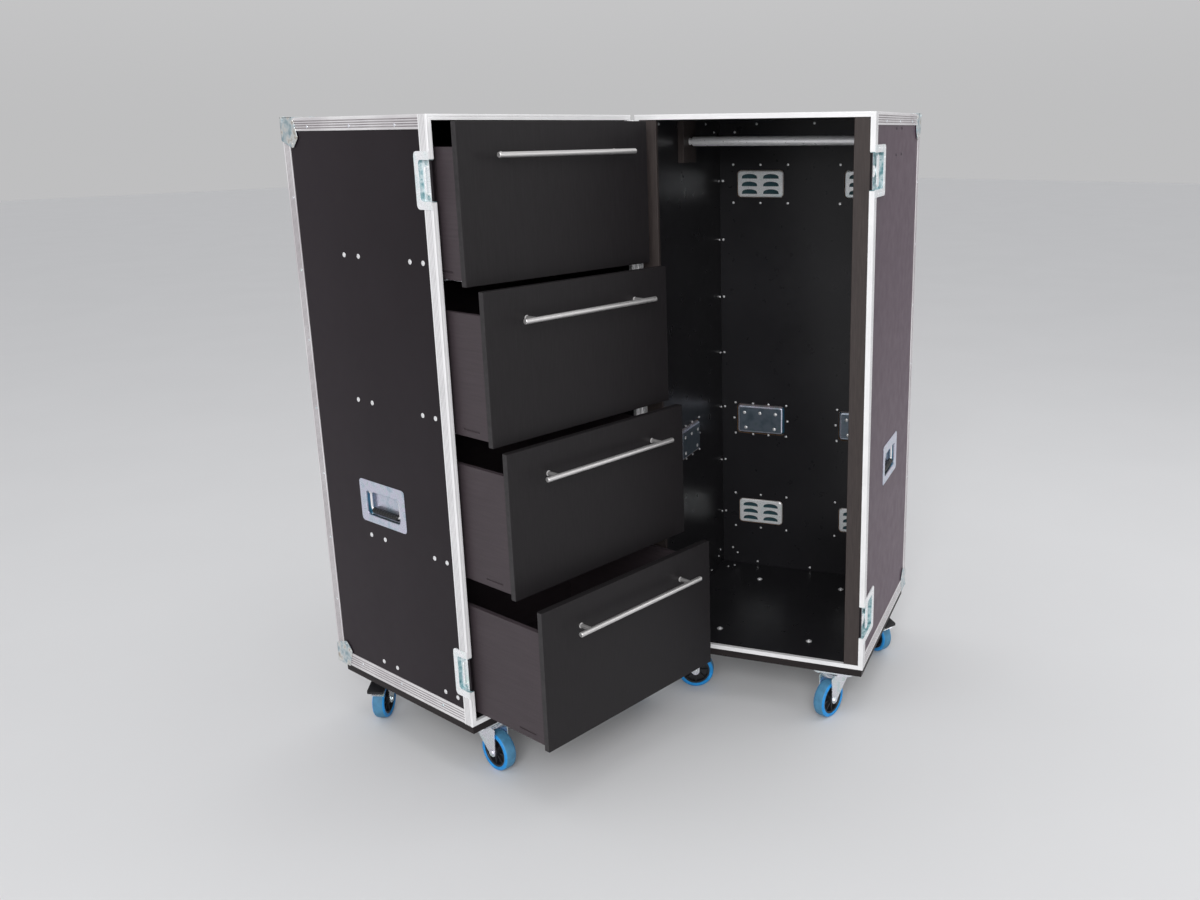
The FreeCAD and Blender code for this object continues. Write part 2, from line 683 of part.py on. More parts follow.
def brake_pedal():
    """A curved band over the tyre, between the fork's legs, with a sloping foot tab."""
    inner = WHEEL_RADIUS + PEDAL_GAP
    outer = inner + PEDAL_BAND
    half_width = TYRE_WIDTH / 2 + FORK_PLAY
    middle = (PEDAL_FROM + PEDAL_TO) / 2

    def arc(radius, angles):
        return Part.Arc(*[round_axle(radius, angle, -half_width) for angle in angles]).toShape()

    def radial(angle, radii):
        return Part.makeLine(*[round_axle(radius, angle, -half_width) for radius in radii])

    outline = Part.Wire([arc(outer, (PEDAL_FROM, middle, PEDAL_TO)),
                         radial(PEDAL_TO, (outer, inner)),
                         arc(inner, (PEDAL_TO, middle, PEDAL_FROM)),
                         radial(PEDAL_FROM, (inner, outer))])
    band = Part.Face(outline).extrude(Vector(0, 2 * half_width, 0))
    top = WHEEL_RADIUS + outer + PEDAL_TAB_RISE
    toe = top - PEDAL_TAB_FALL
    corners = [(PEDAL_TAB_FROM, top), (PEDAL_TAB_TO, toe),
               (PEDAL_TAB_TO, toe - PEDAL_TAB_THICK / 2),
               (PEDAL_TAB_FROM, top - PEDAL_TAB_THICK)]
    start = -PEDAL_TAB_WIDE / 2
    tab = extruded([Vector(TRAIL + x, start, z) for x, z in corners],
                   Vector(0, PEDAL_TAB_WIDE, 0))
    return fused([band, tab])


def wheel_solids():
    """Tyre, and rim with its hub, about the axle."""
    across = Vector(0, 1, 0)

    def ring(outer, inner, wide):
        start = Vector(TRAIL, -wide / 2, WHEEL_RADIUS)
        disc = Part.makeCylinder(outer, wide, start, across)
        return disc.cut(Part.makeCylinder(inner, wide, start, across))

    seat = WHEEL_RADIUS - TYRE
    tyre = ring(WHEEL_RADIUS, seat, TYRE_WIDTH)
    shoulders = [edge for edge in tyre.Edges
                 if isinstance(edge.Curve, Part.Circle) and edge.Curve.Radius > seat + TYRE / 2]
    tyre = tyre.makeFillet(TYRE_ROUND, shoulders)
    flange = ring(seat, seat - RIM_FLANGE, RIM_WIDTH)
    web = ring(seat - RIM_FLANGE, HUB_RADIUS, RIM_WEB)
    hub = ring(HUB_RADIUS, AXLE_RADIUS + RUN_FIT, TYRE_WIDTH + FORK_PLAY)
    return [tyre, fused([flange, web, hub])]


def castor_pose(half, across, depth, turn):
    """Where a castor drawn about its own swivel axis goes in the shut half."""
    return FreeCAD.Placement(place(half, across, depth, 0), FreeCAD.Rotation(UP, turn))


# ---- Drawers -----------------------------------------------------------------
def drawer_front(number):
    low = front_bottom(number)
    return block("drawer_case", (FRONT_HINGE_GAP, WIDTH - FRONT_FREE_GAP),
                 (FRONT_SETBACK, FRONT_SETBACK + FRONT_THICK), (low, low + FRONT_HEIGHT))


def drawer_box(number):
    """Five boards behind the front: two sides, two ends and the base."""
    low = front_bottom(number) + SIDE_ABOVE_FRONT_BOTTOM
    high = front_bottom(number) + FRONT_HEIGHT - SIDE_BELOW_FRONT_TOP
    start = FRONT_SETBACK + FRONT_THICK
    end = start + DRAWER_DEPTH
    left = WALL + SLIDE_SPACE
    right = INNER_FREE - SLIDE_SPACE
    between = (left + DRAWER_WALL, right - DRAWER_WALL)
    base = low + DRAWER_BASE_RISE
    boards = []
    for outer, inner, sign in ((left, between[0], 1), (right, between[1], -1)):
        side = block("drawer_case", (outer, inner), (start, end), (low, high))
        boards.append(side.cut(block(
            "drawer_case", (outer, outer + sign * GROOVE_DEEP),
            (start + GROOVE[0], start + GROOVE[1]),
            (low + GROOVE_RISE, low + GROOVE_RISE + GROOVE_HIGH))))
    # The ends stand on the runners, like the base between them.
    for depth in ((start, start + DRAWER_WALL), (end - DRAWER_WALL, end)):
        boards.append(block("drawer_case", between, depth, (base, high)))
    boards.append(block("drawer_case", between, (start + DRAWER_WALL, end - DRAWER_WALL),
                        (base, base + DRAWER_BASE)))
    return boards


def slide_sheet(wall, sign, number, across, height):
    """A strip of a slide, from distances off the case's wall and the front's bottom."""
    low = front_bottom(number)
    return block("drawer_case", (wall + sign * across[0], wall + sign * across[1]),
                 (SLIDE_SETBACK, SLIDE_SETBACK + SLIDE_LENGTH),
                 (low + height[0], low + height[1]))


def outer_rail(wall, sign, number):
    """On the case's wall: a leg down it, a shelf under the drawer, a lip along the shelf."""
    floor = RAIL_FLOOR_RISE
    edge = SLIDE_SPACE + DRAWER_WALL + RUNNER_WIDE + SLIDE_PLAY + SLIDE_SHEET
    leg = slide_sheet(wall, sign, number, (0, SLIDE_SHEET), (floor, SLIDE_RISE + RAIL_OVER_BOLTS))
    shelf = slide_sheet(wall, sign, number, (0, edge), (floor, floor + SLIDE_SHEET))
    lip = slide_sheet(wall, sign, number, (edge - SLIDE_SHEET, edge), (floor, floor + RAIL_LIP))
    return fused([leg, shelf, lip])


def runner(wall, sign, number):
    """Under the drawer's base: a channel whose legs stand just off the rail's shelf."""
    top = SIDE_ABOVE_FRONT_BOTTOM + DRAWER_BASE_RISE
    foot = RAIL_FLOOR_RISE + SLIDE_SHEET + SLIDE_PLAY
    near = SLIDE_SPACE + DRAWER_WALL
    far = near + RUNNER_WIDE
    web = slide_sheet(wall, sign, number, (near, far), (top - SLIDE_SHEET, top))
    legs = [slide_sheet(wall, sign, number, across, (foot, top))
            for across in ((near, near + SLIDE_SHEET), (far - SLIDE_SHEET, far))]
    return fused([web] + legs)


def outer_rails():
    return [outer_rail(wall, sign, number) for number in range(DRAWERS)
            for wall, sign in ((WALL, 1), (INNER_FREE, -1))]


def drawer_runners(number):
    return [runner(WALL, 1, number), runner(INNER_FREE, -1, number)]


def bar_handle(number):
    """A round bar on two posts."""
    z = front_bottom(number) + FRONT_HEIGHT - BAR_DROP
    middle = (FRONT_HINGE_GAP + WIDTH - FRONT_FREE_GAP) / 2
    depth = FRONT_SETBACK - BAR_STANDOFF
    start = place("drawer_case", middle + BAR_LENGTH / 2, depth, z)
    bar = Part.makeCylinder(BAR_RADIUS, BAR_LENGTH, start, Vector(1, 0, 0))
    solids = [bar]
    for sign in (-1, 1):
        foot = place("drawer_case", middle + sign * POST_PITCH / 2, depth, z)
        post = Part.makeCylinder(POST_RADIUS, BAR_STANDOFF, foot, Vector(0, 1, 0))
        solids.append(post.cut(bar))
    return solids


def pulled(number, shapes):
    out = Vector(0, -DRAWERS_OUT[number], 0)
    return [shape.translated(out) for shape in shapes]


# ---- Recessed handles, vents and latches -------------------------------------
def pan(wide, high, depth, sheet):
    """An open box behind the wall's face."""
    outer = centred_box(wide, high, -depth, 0)
    inner = centred_box(wide - 2 * sheet, high - 2 * sheet, -depth + sheet, 0)
    return outer.cut(inner)


def handle_dish():
    mouth_high = MOUTH_TOP - MOUTH_BOTTOM
    mouth = centred_box(MOUTH_WIDE, mouth_high, -1, DISH_SHEET + 1,
                        (0, (MOUTH_TOP + MOUTH_BOTTOM) / 2))
    plate = rounded_plate(DISH_WIDE, DISH_HIGH, DISH_SHEET).cut(mouth)
    dish = fused([plate, pan(PAN_WIDE, PAN_HIGH, PAN_DEPTH, PAN_SHEET)])
    pin_hole = Part.makeCylinder(
        BAIL_PIN_RADIUS + RUN_FIT, PAN_WIDE,
        Vector(-PAN_WIDE / 2, BAIL_PIVOT_HEIGHT, -BAIL_PIVOT_DEPTH), Vector(1, 0, 0))
    return dish.cut(pin_hole)


def bail_solids():
    """The hanging bail with its pivot pin, and the grip round its lower rod."""
    level = Vector(1, 0, 0)
    pivot = Vector(0, BAIL_PIVOT_HEIGHT, -BAIL_PIVOT_DEPTH)
    low = pivot - Vector(0, BAIL_ARM, 0)
    pin_long = PAN_WIDE - 2 * RUN_FIT
    pin = Part.makeCylinder(BAIL_PIN_RADIUS, pin_long, pivot - level * (pin_long / 2), level)
    core = Part.makeCylinder(GRIP_CORE_RADIUS, BAIL_WIDE, low - level * (BAIL_WIDE / 2), level)
    arms = []
    for sign in (-1, 1):
        middle = sign * (BAIL_WIDE - BAIL_ARM_WIDE) / 2
        arms.append(centred_box(BAIL_ARM_WIDE, BAIL_ARM + BAIL_ARM_THICK,
                                -BAIL_PIVOT_DEPTH - BAIL_ARM_THICK / 2,
                                -BAIL_PIVOT_DEPTH + BAIL_ARM_THICK / 2,
                                (middle, BAIL_PIVOT_HEIGHT - BAIL_ARM / 2)))
    bail = fused([pin, core] + arms)
    grip_long = BAIL_WIDE - 2 * BAIL_ARM_WIDE - 2 * GRIP_END_GAP
    start = low - level * (grip_long / 2)
    grip = Part.makeCylinder(GRIP_RADIUS, grip_long, start, level)
    grip = grip.cut(Part.makeCylinder(GRIP_CORE_RADIUS + SOCKET_FIT, grip_long, start, level))
    return [bail, grip]


def vent():
    plate = rounded_plate(VENT_WIDE, VENT_HIGH, DISH_SHEET)
    inner = centred_box(VENT_PAN_WIDE - 2 * PAN_SHEET, VENT_PAN_HIGH - 2 * PAN_SHEET,
                        -1, DISH_SHEET + 1)
    whole = fused([plate.cut(inner),
                   pan(VENT_PAN_WIDE, VENT_PAN_HIGH, VENT_PAN_DEPTH, PAN_SHEET)])
    for column in (-SLOT_COLUMN, SLOT_COLUMN):
        for row in range(SLOT_ROWS):
            height = (row - (SLOT_ROWS - 1) / 2) * SLOT_PITCH
            whole = whole.cut(centred_box(SLOT_WIDE, SLOT_HIGH, -VENT_PAN_DEPTH - 1,
                                          -VENT_PAN_DEPTH + PAN_SHEET + 1, (column, height)))
    return whole


def latch_dish(half, z, plate_long, pan_long):
    """Plate and pan of a latch or keeper, open at the closing plane."""
    outside = (WIDTH, WIDTH + LATCH_SHEET)
    reach = LATCH_PLATE_HIGH / 2
    plate = fused([
        block(half, outside, (CLOSING_FACE, plate_long), (z - reach, z + reach)),
        block(half, (WIDTH - TRIM, WIDTH + LATCH_SHEET), (CLOSING_LEG, plate_long),
              (z - reach, z + reach))])
    end = place(half, WIDTH, plate_long, z).y
    corners = [edge for edge in plate.Edges
               if edge.BoundBox.XLength > TRIM and abs(edge.BoundBox.Center.y - end) < TRIM]
    plate = plate.makeFillet(PLATE_CORNER, corners)
    margin = LATCH_PAN_HIGH / 2
    bottom = INNER_FREE + WING_GAP
    box = block(half, (bottom, WIDTH), (CLOSING_FACE, pan_long), (z - margin, z + margin))
    room = block(half, (bottom + PAN_SHEET, WIDTH + 2 * LATCH_SHEET),
                 (CLOSING_FACE - 1, pan_long - PAN_SHEET),
                 (z - margin + PAN_SHEET, z + margin - PAN_SHEET))
    return plate.fuse(box).cut(room).removeSplitter()


def keeper(z):
    dish = latch_dish("drawer_case", z, KEEPER_PLATE_LONG, KEEPER_PAN_LONG)
    bottom = INNER_FREE + WING_GAP + PAN_SHEET
    bar = block("drawer_case", (bottom, WIDTH),
                (KEEPER_BAR_DEPTH, KEEPER_BAR_DEPTH + KEEPER_BAR),
                (z - KEEPER_BAR_HIGH / 2, z + KEEPER_BAR_HIGH / 2))
    return fused([dish, bar])


def latch(z):
    dish = latch_dish("wardrobe", z, LATCH_PLATE_LONG, LATCH_PAN_LONG)
    hole = Part.makeCylinder(WING_PIN_RADIUS + RUN_FIT, PANEL,
                             place("wardrobe", INNER_FREE, WING_DEPTH, z), Vector(-1, 0, 0))
    return dish.cut(hole)


def latch_wing(z):
    """The turning wing: pin, boss and wing plate, lying upright when open."""
    outward = normal_of("wardrobe", "free")
    bottom = INNER_FREE + WING_GAP
    boss_start = bottom + PAN_SHEET + WING_GAP
    pin = Part.makeCylinder(WING_PIN_RADIUS, PAN_SHEET + 2 * WING_GAP,
                            place("wardrobe", bottom, WING_DEPTH, z), outward)
    boss = Part.makeCylinder(WING_BOSS_RADIUS, WING_BOSS,
                             place("wardrobe", boss_start, WING_DEPTH, z), outward)
    plate_start = boss_start + WING_BOSS
    plate = block("wardrobe", (plate_start, plate_start + WING_THICK),
                  (WING_DEPTH - WING_WIDE / 2, WING_DEPTH + WING_WIDE / 2),
                  (z - WING_LONG / 2, z + WING_LONG / 2))
    upright = [edge for edge in plate.Edges
               if edge.BoundBox.XLength > WING_THICK / 2 and edge.BoundBox.ZLength < WING_THICK / 2
               and edge.BoundBox.YLength < WING_THICK / 2]
    plate = plate.makeFillet(WING_ROUND, upright)
    return fused([pin, boss, plate])


# ---- Inside the wardrobe half ------------------------------------------------
def stiles():
    depth = (PANEL_FRONT, PANEL_FRONT + STILE)
    height = (INNER_BOTTOM, INNER_TOP)
    return [block("wardrobe", (INNER_FREE - FREE_STILE_WIDE, INNER_FREE), depth, height),
            block("wardrobe", (WALL, WALL + HINGE_STILE_WIDE), depth, height)]


def rail_pads():
    depth = (RAIL_DEPTH - RAIL_PAD_WIDE / 2, RAIL_DEPTH + RAIL_PAD_WIDE / 2)
    height = (INNER_TOP - RAIL_PAD_HIGH, INNER_TOP)
    return [block("wardrobe", (WALL, WALL + RAIL_PAD), depth, height),
            block("wardrobe", (INNER_FREE - RAIL_PAD, INNER_FREE), depth, height)]


def hanging_rail():
    """The rail's tube and the pegs on the pads that carry its ends."""
    z = BOX_TOP - RAIL_DROP
    start = WALL + RAIL_PAD
    end = INNER_FREE - RAIL_PAD
    long = end - start - 2 * RAIL_PEG
    from_hinge = place("wardrobe", start + RAIL_PEG, RAIL_DEPTH, z)
    out = Vector(-1, 0, 0)
    bore = RAIL_RADIUS - RAIL_WALL
    tube = Part.makeCylinder(RAIL_RADIUS, long, from_hinge, out)
    solids = [tube.cut(Part.makeCylinder(bore, long, from_hinge, out))]
    for across, inward in ((start, out), (end, -out)):
        seat = place("wardrobe", across, RAIL_DEPTH, z)
        peg = Part.makeCylinder(RAIL_PEG_RADIUS, RAIL_PEG, seat, inward)
        plug = Part.makeCylinder(bore - SOCKET_FIT, RAIL_PLUG, seat + inward * RAIL_PEG, inward)
        solids.append(fused([peg, plug]))
    return solids


# ---- Every piece, by name ----------------------------------------------------
def case_half(half):
    """The pieces that both halves have."""
    return {
        half + "_side_panels": side_panels(half),
        half + "_back_panel": back_panel(half),
        half + "_top_and_bottom": end_panels(half),
        half + "_closing_frame": closing_frame(half),
        half + "_edge_trim": edge_trim(half),
        half + "_fasteners": fasteners(half),
        half + "_castor_board": castor_board(half),
    }


def drawer_half():
    pieces = case_half("drawer_case")
    pieces["drawer_case_handle_dish"] = [
        placed(handle_dish(), frame) for frame in handle_frames("drawer_case").values()]
    pieces["latch_keepers"] = [keeper(z) for z in LATCH_HEIGHTS]
    pieces["drawer_case_hinge_leaf"] = [hinge_leaf("drawer_case"), hinge_pin()]
    pieces["slide_outer_rails"] = outer_rails()
    for number in range(DRAWERS):
        name = "drawer_%d" % (number + 1)
        boards = drawer_box(number) + drawer_runners(number)
        pieces[name + "_box"] = pulled(number, boards)
        pieces[name + "_front"] = pulled(number, [drawer_front(number)])
        pieces[name + "_handle"] = pulled(number, bar_handle(number))
    return pieces


def wardrobe_half():
    pieces = case_half("wardrobe")
    dishes = [placed(handle_dish(), frame) for frame in handle_frames("wardrobe").values()]
    pieces["wardrobe_handle_dishes"] = dishes
    pieces["latch_dishes"] = [latch(z) for z in LATCH_HEIGHTS]
    pieces["wardrobe_hinge_leaf"] = [hinge_leaf("wardrobe")]
    pieces["hanging_rail"] = hanging_rail()
    pieces["rail_pads"] = rail_pads()
    pieces["wardrobe_stiles"] = stiles()
    pieces["back_vents"] = [placed(vent(), frame) for frame in vent_frames()]
    for name, z in zip(("upper", "lower"), LATCH_HEIGHTS):
        pieces["latch_wing_" + name] = [latch_wing(z)]
    return pieces


def moving_pieces(half):
    """Castor forks and wheels, and handle bails."""
    pieces = {}
    for name, braked, across, depth, turn in castor_places(half):
        frame = castor_pose(half, across, depth, turn)
        pieces[name + "_fork"] = [placed(s, frame) for s in fork_solids(braked)]
        pieces[name + "_wheel"] = [placed(s, frame) for s in wheel_solids()]
    for name, frame in handle_frames(half).items():
        pieces[half + "_" + name + "_bail"] = [placed(s, frame) for s in bail_solids()]
    return pieces


os.makedirs("parts", exist_ok=True)
for half, build in (("drawer_case", drawer_half), ("wardrobe", wardrobe_half)):
    pieces = build()
    pieces.update(moving_pieces(half))
    for name, solids in pieces.items():
        save(name, [stand(half, solid) for solid in solids])
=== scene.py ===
import json
import math

import bmesh
import bpy
from mathutils import Matrix, Vector
from mathutils.geometry import tessellate_polygon


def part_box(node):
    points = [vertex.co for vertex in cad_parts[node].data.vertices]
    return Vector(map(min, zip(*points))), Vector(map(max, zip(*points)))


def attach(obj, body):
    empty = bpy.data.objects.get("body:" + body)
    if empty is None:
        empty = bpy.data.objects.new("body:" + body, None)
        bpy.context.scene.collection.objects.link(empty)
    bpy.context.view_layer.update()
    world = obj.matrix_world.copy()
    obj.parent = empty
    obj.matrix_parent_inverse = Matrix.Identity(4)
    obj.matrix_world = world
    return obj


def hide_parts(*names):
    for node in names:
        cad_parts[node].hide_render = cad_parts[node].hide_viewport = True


# Wardrobe trunk on castors: its finish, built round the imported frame.
#
# Sizes are millimetres until a piece is made, and metres from there on.
# Pieces of a half are drawn shut, by the distances across, depth and z:
# across runs from the hinge-side outer face to the free side, and depth from
# the closing plane into the half. The wardrobe half is then swung open.
# Hardware on a wall is drawn in the wall's frame: X along it, Y up, Z outwards.

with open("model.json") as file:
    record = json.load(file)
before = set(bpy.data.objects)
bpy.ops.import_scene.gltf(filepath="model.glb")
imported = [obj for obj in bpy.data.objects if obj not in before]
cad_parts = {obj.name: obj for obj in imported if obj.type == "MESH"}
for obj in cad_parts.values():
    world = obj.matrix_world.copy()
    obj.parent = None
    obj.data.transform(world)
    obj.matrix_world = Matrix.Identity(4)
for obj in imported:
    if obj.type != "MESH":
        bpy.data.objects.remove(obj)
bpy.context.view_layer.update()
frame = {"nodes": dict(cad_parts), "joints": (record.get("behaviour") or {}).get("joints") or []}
NODES = frame["nodes"]
JOINTS = {joint["name"]: joint for joint in frame["joints"]}
MM = 0.001

# ---- The opened case ---------------------------------------------------------
OPEN_ANGLE = math.radians(110)
SIDE_OF = {"drawer_case": 1.0, "wardrobe": -1.0}

# ---- Sizes that the frame gives ----------------------------------------------
low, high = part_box("drawer_case_closing_frame")
PIN_OFFSET = -high.x / MM
WIDTH = (high.x - low.x) / MM
BOX_BOTTOM = low.z / MM
BOX_TOP = high.z / MM
CLOSING_FACE = low.y / MM
CLOSING_LEG = high.y / MM

# ---- Sizes of the sheet, boards and edges ------------------------------------
TRIM = 2.0
PANEL = 9.5
WALL = TRIM + PANEL
CLOSING_FLANGE = 12.0
ANGLE_LEG = 30.0
BOTTOM_ANGLE_LEG = 38.0
CORNER_RIVET = (59.5, 43.5)
CORNER_LOBE = 8.5
CUT_EDGE = 4.5
CORNER_SHEET = 1.5
SHEET = 1.5
GROOVE_WIDE = 1.4
GROOVE_DEEP = 0.6
CLOSING_LIP = 10.0


# ---- Frames ------------------------------------------------------------------
def opened(half):
    """From a half drawn shut in millimetres to the row frame in metres."""
    turn = Matrix.Rotation(OPEN_ANGLE if half == "wardrobe" else 0.0, 4, "Z")
    return turn @ Matrix.Scale(MM, 4)


def half_matrix(half):
    """From (across, depth, z) in millimetres to the row frame in metres."""
    shut = Matrix(((-1, 0, 0, -PIN_OFFSET), (0, SIDE_OF[half], 0, 0),
                   (0, 0, 1, 0), (0, 0, 0, 1)))
    return opened(half) @ shut


def in_half(half, point):
    return half_matrix(half).inverted() @ Vector(point)


def half_of(node):
    on_wardrobe = node.startswith(("wardrobe", "latch_wing", "latch_dishes", "back_vents",
                                   "hanging_rail", "rail_pads"))
    return "wardrobe" if on_wardrobe else "drawer_case"


def wall_matrix(half, wall, along, z):
    """A wall's frame, with its origin on the plywood's outer face."""
    outward = {"free": Vector((-1, 0, 0)), "hinge": Vector((1, 0, 0)),
               "back": Vector((0, SIDE_OF[half], 0))}[wall]
    level = Vector((0, 0, 1)).cross(outward)
    across, depth = {"free": (WIDTH - TRIM, along), "hinge": (TRIM, along),
                     "back": (along, DEPTH[half] - TRIM)}[wall]
    origin = Vector((-(PIN_OFFSET + across), SIDE_OF[half] * depth, z))
    columns = Matrix((level, (0, 0, 1), outward)).transposed().to_4x4()
    return opened(half) @ Matrix.Translation(origin) @ columns


def islands(node):
    """The separate solids of a CAD node, each as its points in its half's frame."""
    bm = bmesh.new()
    bm.from_mesh(NODES[node].data)
    bmesh.ops.remove_doubles(bm, verts=bm.verts, dist=1e-6)
    to_half = half_matrix(half_of(node)).inverted()
    seen = set()
    found = []
    for start in bm.verts:
        if start in seen:
            continue
        seen.add(start)
        stack = [start]
        points = []
        while stack:
            vert = stack.pop()
            points.append(to_half @ vert.co)
            for edge in vert.link_edges:
                other = edge.other_vert(vert)
                if other not in seen:
                    seen.add(other)
                    stack.append(other)
        found.append(points)
    bm.free()
    return found


def corners(points):
    low = Vector([min(p[i] for p in points) for i in range(3)])
    high = Vector([max(p[i] for p in points) for i in range(3)])
    return low, high


def boxes(node):
    """The low and high corners of each solid of a CAD node."""
    return [corners(solid) for solid in islands(node)]


def widest_first(node):
    return sorted(boxes(node), key=lambda box: box[0].x - box[1].x)


def wall_of(half, point):
    """Which wall a point of the half lies at, and how far along that wall."""
    gaps = {"free": WIDTH - point.x, "hinge": point.x, "back": DEPTH[half] - point.y}
    wall = min(gaps, key=gaps.get)
    return wall, point.x if wall == "back" else point.y


DEPTH = {half: max(high.y for low, high in boxes(half + "_back_panel")) + TRIM
         for half in SIDE_OF}


# ---- Drawing -----------------------------------------------------------------
HERE = Matrix.Identity(4)
ALONG_X = Matrix.Rotation(math.pi / 2, 4, "Y")
ALONG_Y = Matrix.Rotation(-math.pi / 2, 4, "X")
BACKWARDS = Matrix.Rotation(math.pi, 4, "X")
DOME_STEPS = 4


def rounded_rect(wide, high, radius, middle=(0.0, 0.0), steps=5):
    """The outline of a rectangle with round corners, anticlockwise."""
    loop = []
    for turn, sx, sy in ((0, 1, 1), (90, -1, 1), (180, -1, -1), (270, 1, -1)):
        cx = middle[0] + sx * (wide / 2 - radius)
        cy = middle[1] + sy * (high / 2 - radius)
        for step in range(steps + 1):
            angle = math.radians(turn + 90 * step / steps)
            loop.append((cx + radius * math.cos(angle), cy + radius * math.sin(angle)))
    return loop


def inset(size, radius, shrink, level, middle=(0.0, 0.0)):
    """A rounded rectangle's outline at a level, shrunk all round."""
    outline = rounded_rect(size[0] - 2 * shrink, size[1] - 2 * shrink,
                           max(radius - shrink, 1.0), middle)
    return [(x, y, level) for x, y in outline]


def circle(radius, steps=20, middle=(0.0, 0.0)):
    return [(middle[0] + radius * math.cos(2 * math.pi * i / steps),
             middle[1] + radius * math.sin(2 * math.pi * i / steps)) for i in range(steps)]


def plate(bm, loops, start, end, at=HERE):
    """A flat plate between two levels; the first loop is its outline, the rest holes."""
    flat = [point for loop in loops for point in loop]
    triangles = tessellate_polygon([[Vector((x, y, 0)) for x, y in loop] for loop in loops])
    rows = [[bm.verts.new(at @ Vector((x, y, level))) for x, y in flat]
            for level in (start, end)]
    for row in rows:
        for triangle in triangles:
            bm.faces.new([row[i] for i in triangle])
    first = 0
    for loop in loops:
        count = len(loop)
        for i in range(count):
            a, b = first + i, first + (i + 1) % count
            bm.faces.new([rows[0][a], rows[0][b], rows[1][b], rows[1][a]])
        first += count


def loft(bm, loops, closed=False, at=HERE, finishes=None):
    """A skin through loops of 3-D points, capped at both ends or joined end to end.

    Finishes are the material numbers of the faces between a loop's points, in order.
    """
    rings = [[bm.verts.new(at @ Vector(point)) for point in loop] for loop in loops]
    pairs = list(zip(rings, rings[1:]))
    if closed:
        pairs.append((rings[-1], rings[0]))
    for lower, upper in pairs:
        count = len(lower)
        for i in range(count):
            j = (i + 1) % count
            face = bm.faces.new([lower[i], lower[j], upper[j], upper[i]])
            if finishes:
                face.material_index = finishes[i]
    if not closed:
        bm.faces.new(rings[0])
        bm.faces.new(rings[-1])


def lathe(bm, profile, steps=32, at=HERE, ring=False):
    """A body of revolution about Z through (radius, height) pairs, from end to end."""
    loops = []
    for radius, level in profile:
        reach = max(radius, 0.01)
        loops.append([(x, y, level) for x, y in circle(reach, steps)])
    loft(bm, loops, closed=ring, at=at)


def mirrored(profile):
    """A (radius, level) profile from its low end to its middle, made whole."""
    return profile + [(radius, -level) for radius, level in profile[::-1]]


def slab(bm, low, high, at=HERE):
    """A box between two corners."""
    outline = [(low[0], low[1]), (high[0], low[1]), (high[0], high[1]), (low[0], high[1])]
    plate(bm, [outline], low[2], high[2], at)


def rod(bm, points, radius, steps=12, at=HERE):
    """A round bar along a line of points."""
    line = [Vector(point) for point in points]
    side = None
    loops = []
    for i, point in enumerate(line):
        before = (point - line[i - 1]).normalized() if i else Vector()
        after = (line[i + 1] - point).normalized() if i + 1 < len(line) else Vector()
        ahead = (before + after).normalized()
        if side is None:
            side = ahead.orthogonal().normalized()
        side = (side - ahead * side.dot(ahead)).normalized()
        other = ahead.cross(side)
        loops.append([point + side * x + other * y for x, y in circle(radius, steps)])
    loft(bm, loops, at=at)


def bend(points, radius, steps=5):
    """A line of points with its corners rounded."""
    line = [Vector(point) for point in points]
    out = [line[0]]
    for before, corner, after in zip(line, line[1:], line[2:]):
        one = (before - corner).normalized()
        two = (after - corner).normalized()
        half_turn = math.acos(max(-1, min(1, one.dot(two)))) / 2
        reach = radius / math.tan(half_turn)
        centre = corner + (one + two).normalized() * (radius / math.sin(half_turn))
        start = corner + one * reach - centre
        end = corner + two * reach - centre
        out += [centre + start.normalized().slerp(end.normalized(), step / steps) * radius
                for step in range(steps + 1)]
    return out + [line[-1]]


def dome(bm, at, size, place=(0.0, 0.0, 0.0), steps=14):
    """A domed head of a (radius, height) at a place on a flat face."""
    radius, height = size
    points = [(0.0, 0.0), (radius, 0.0)]
    for i in range(1, DOME_STEPS + 1):
        angle = math.pi / 2 * i / DOME_STEPS
        points.append((radius * math.cos(angle), height * math.sin(angle)))
    lathe(bm, points, steps, at @ Matrix.Translation(place))


def onto(point, outward):
    """A frame at a point, with Z along the outward direction."""
    turn = Vector(outward).to_track_quat("Z", "Y").to_matrix().to_4x4()
    return Matrix.Translation(Vector(point)) @ turn


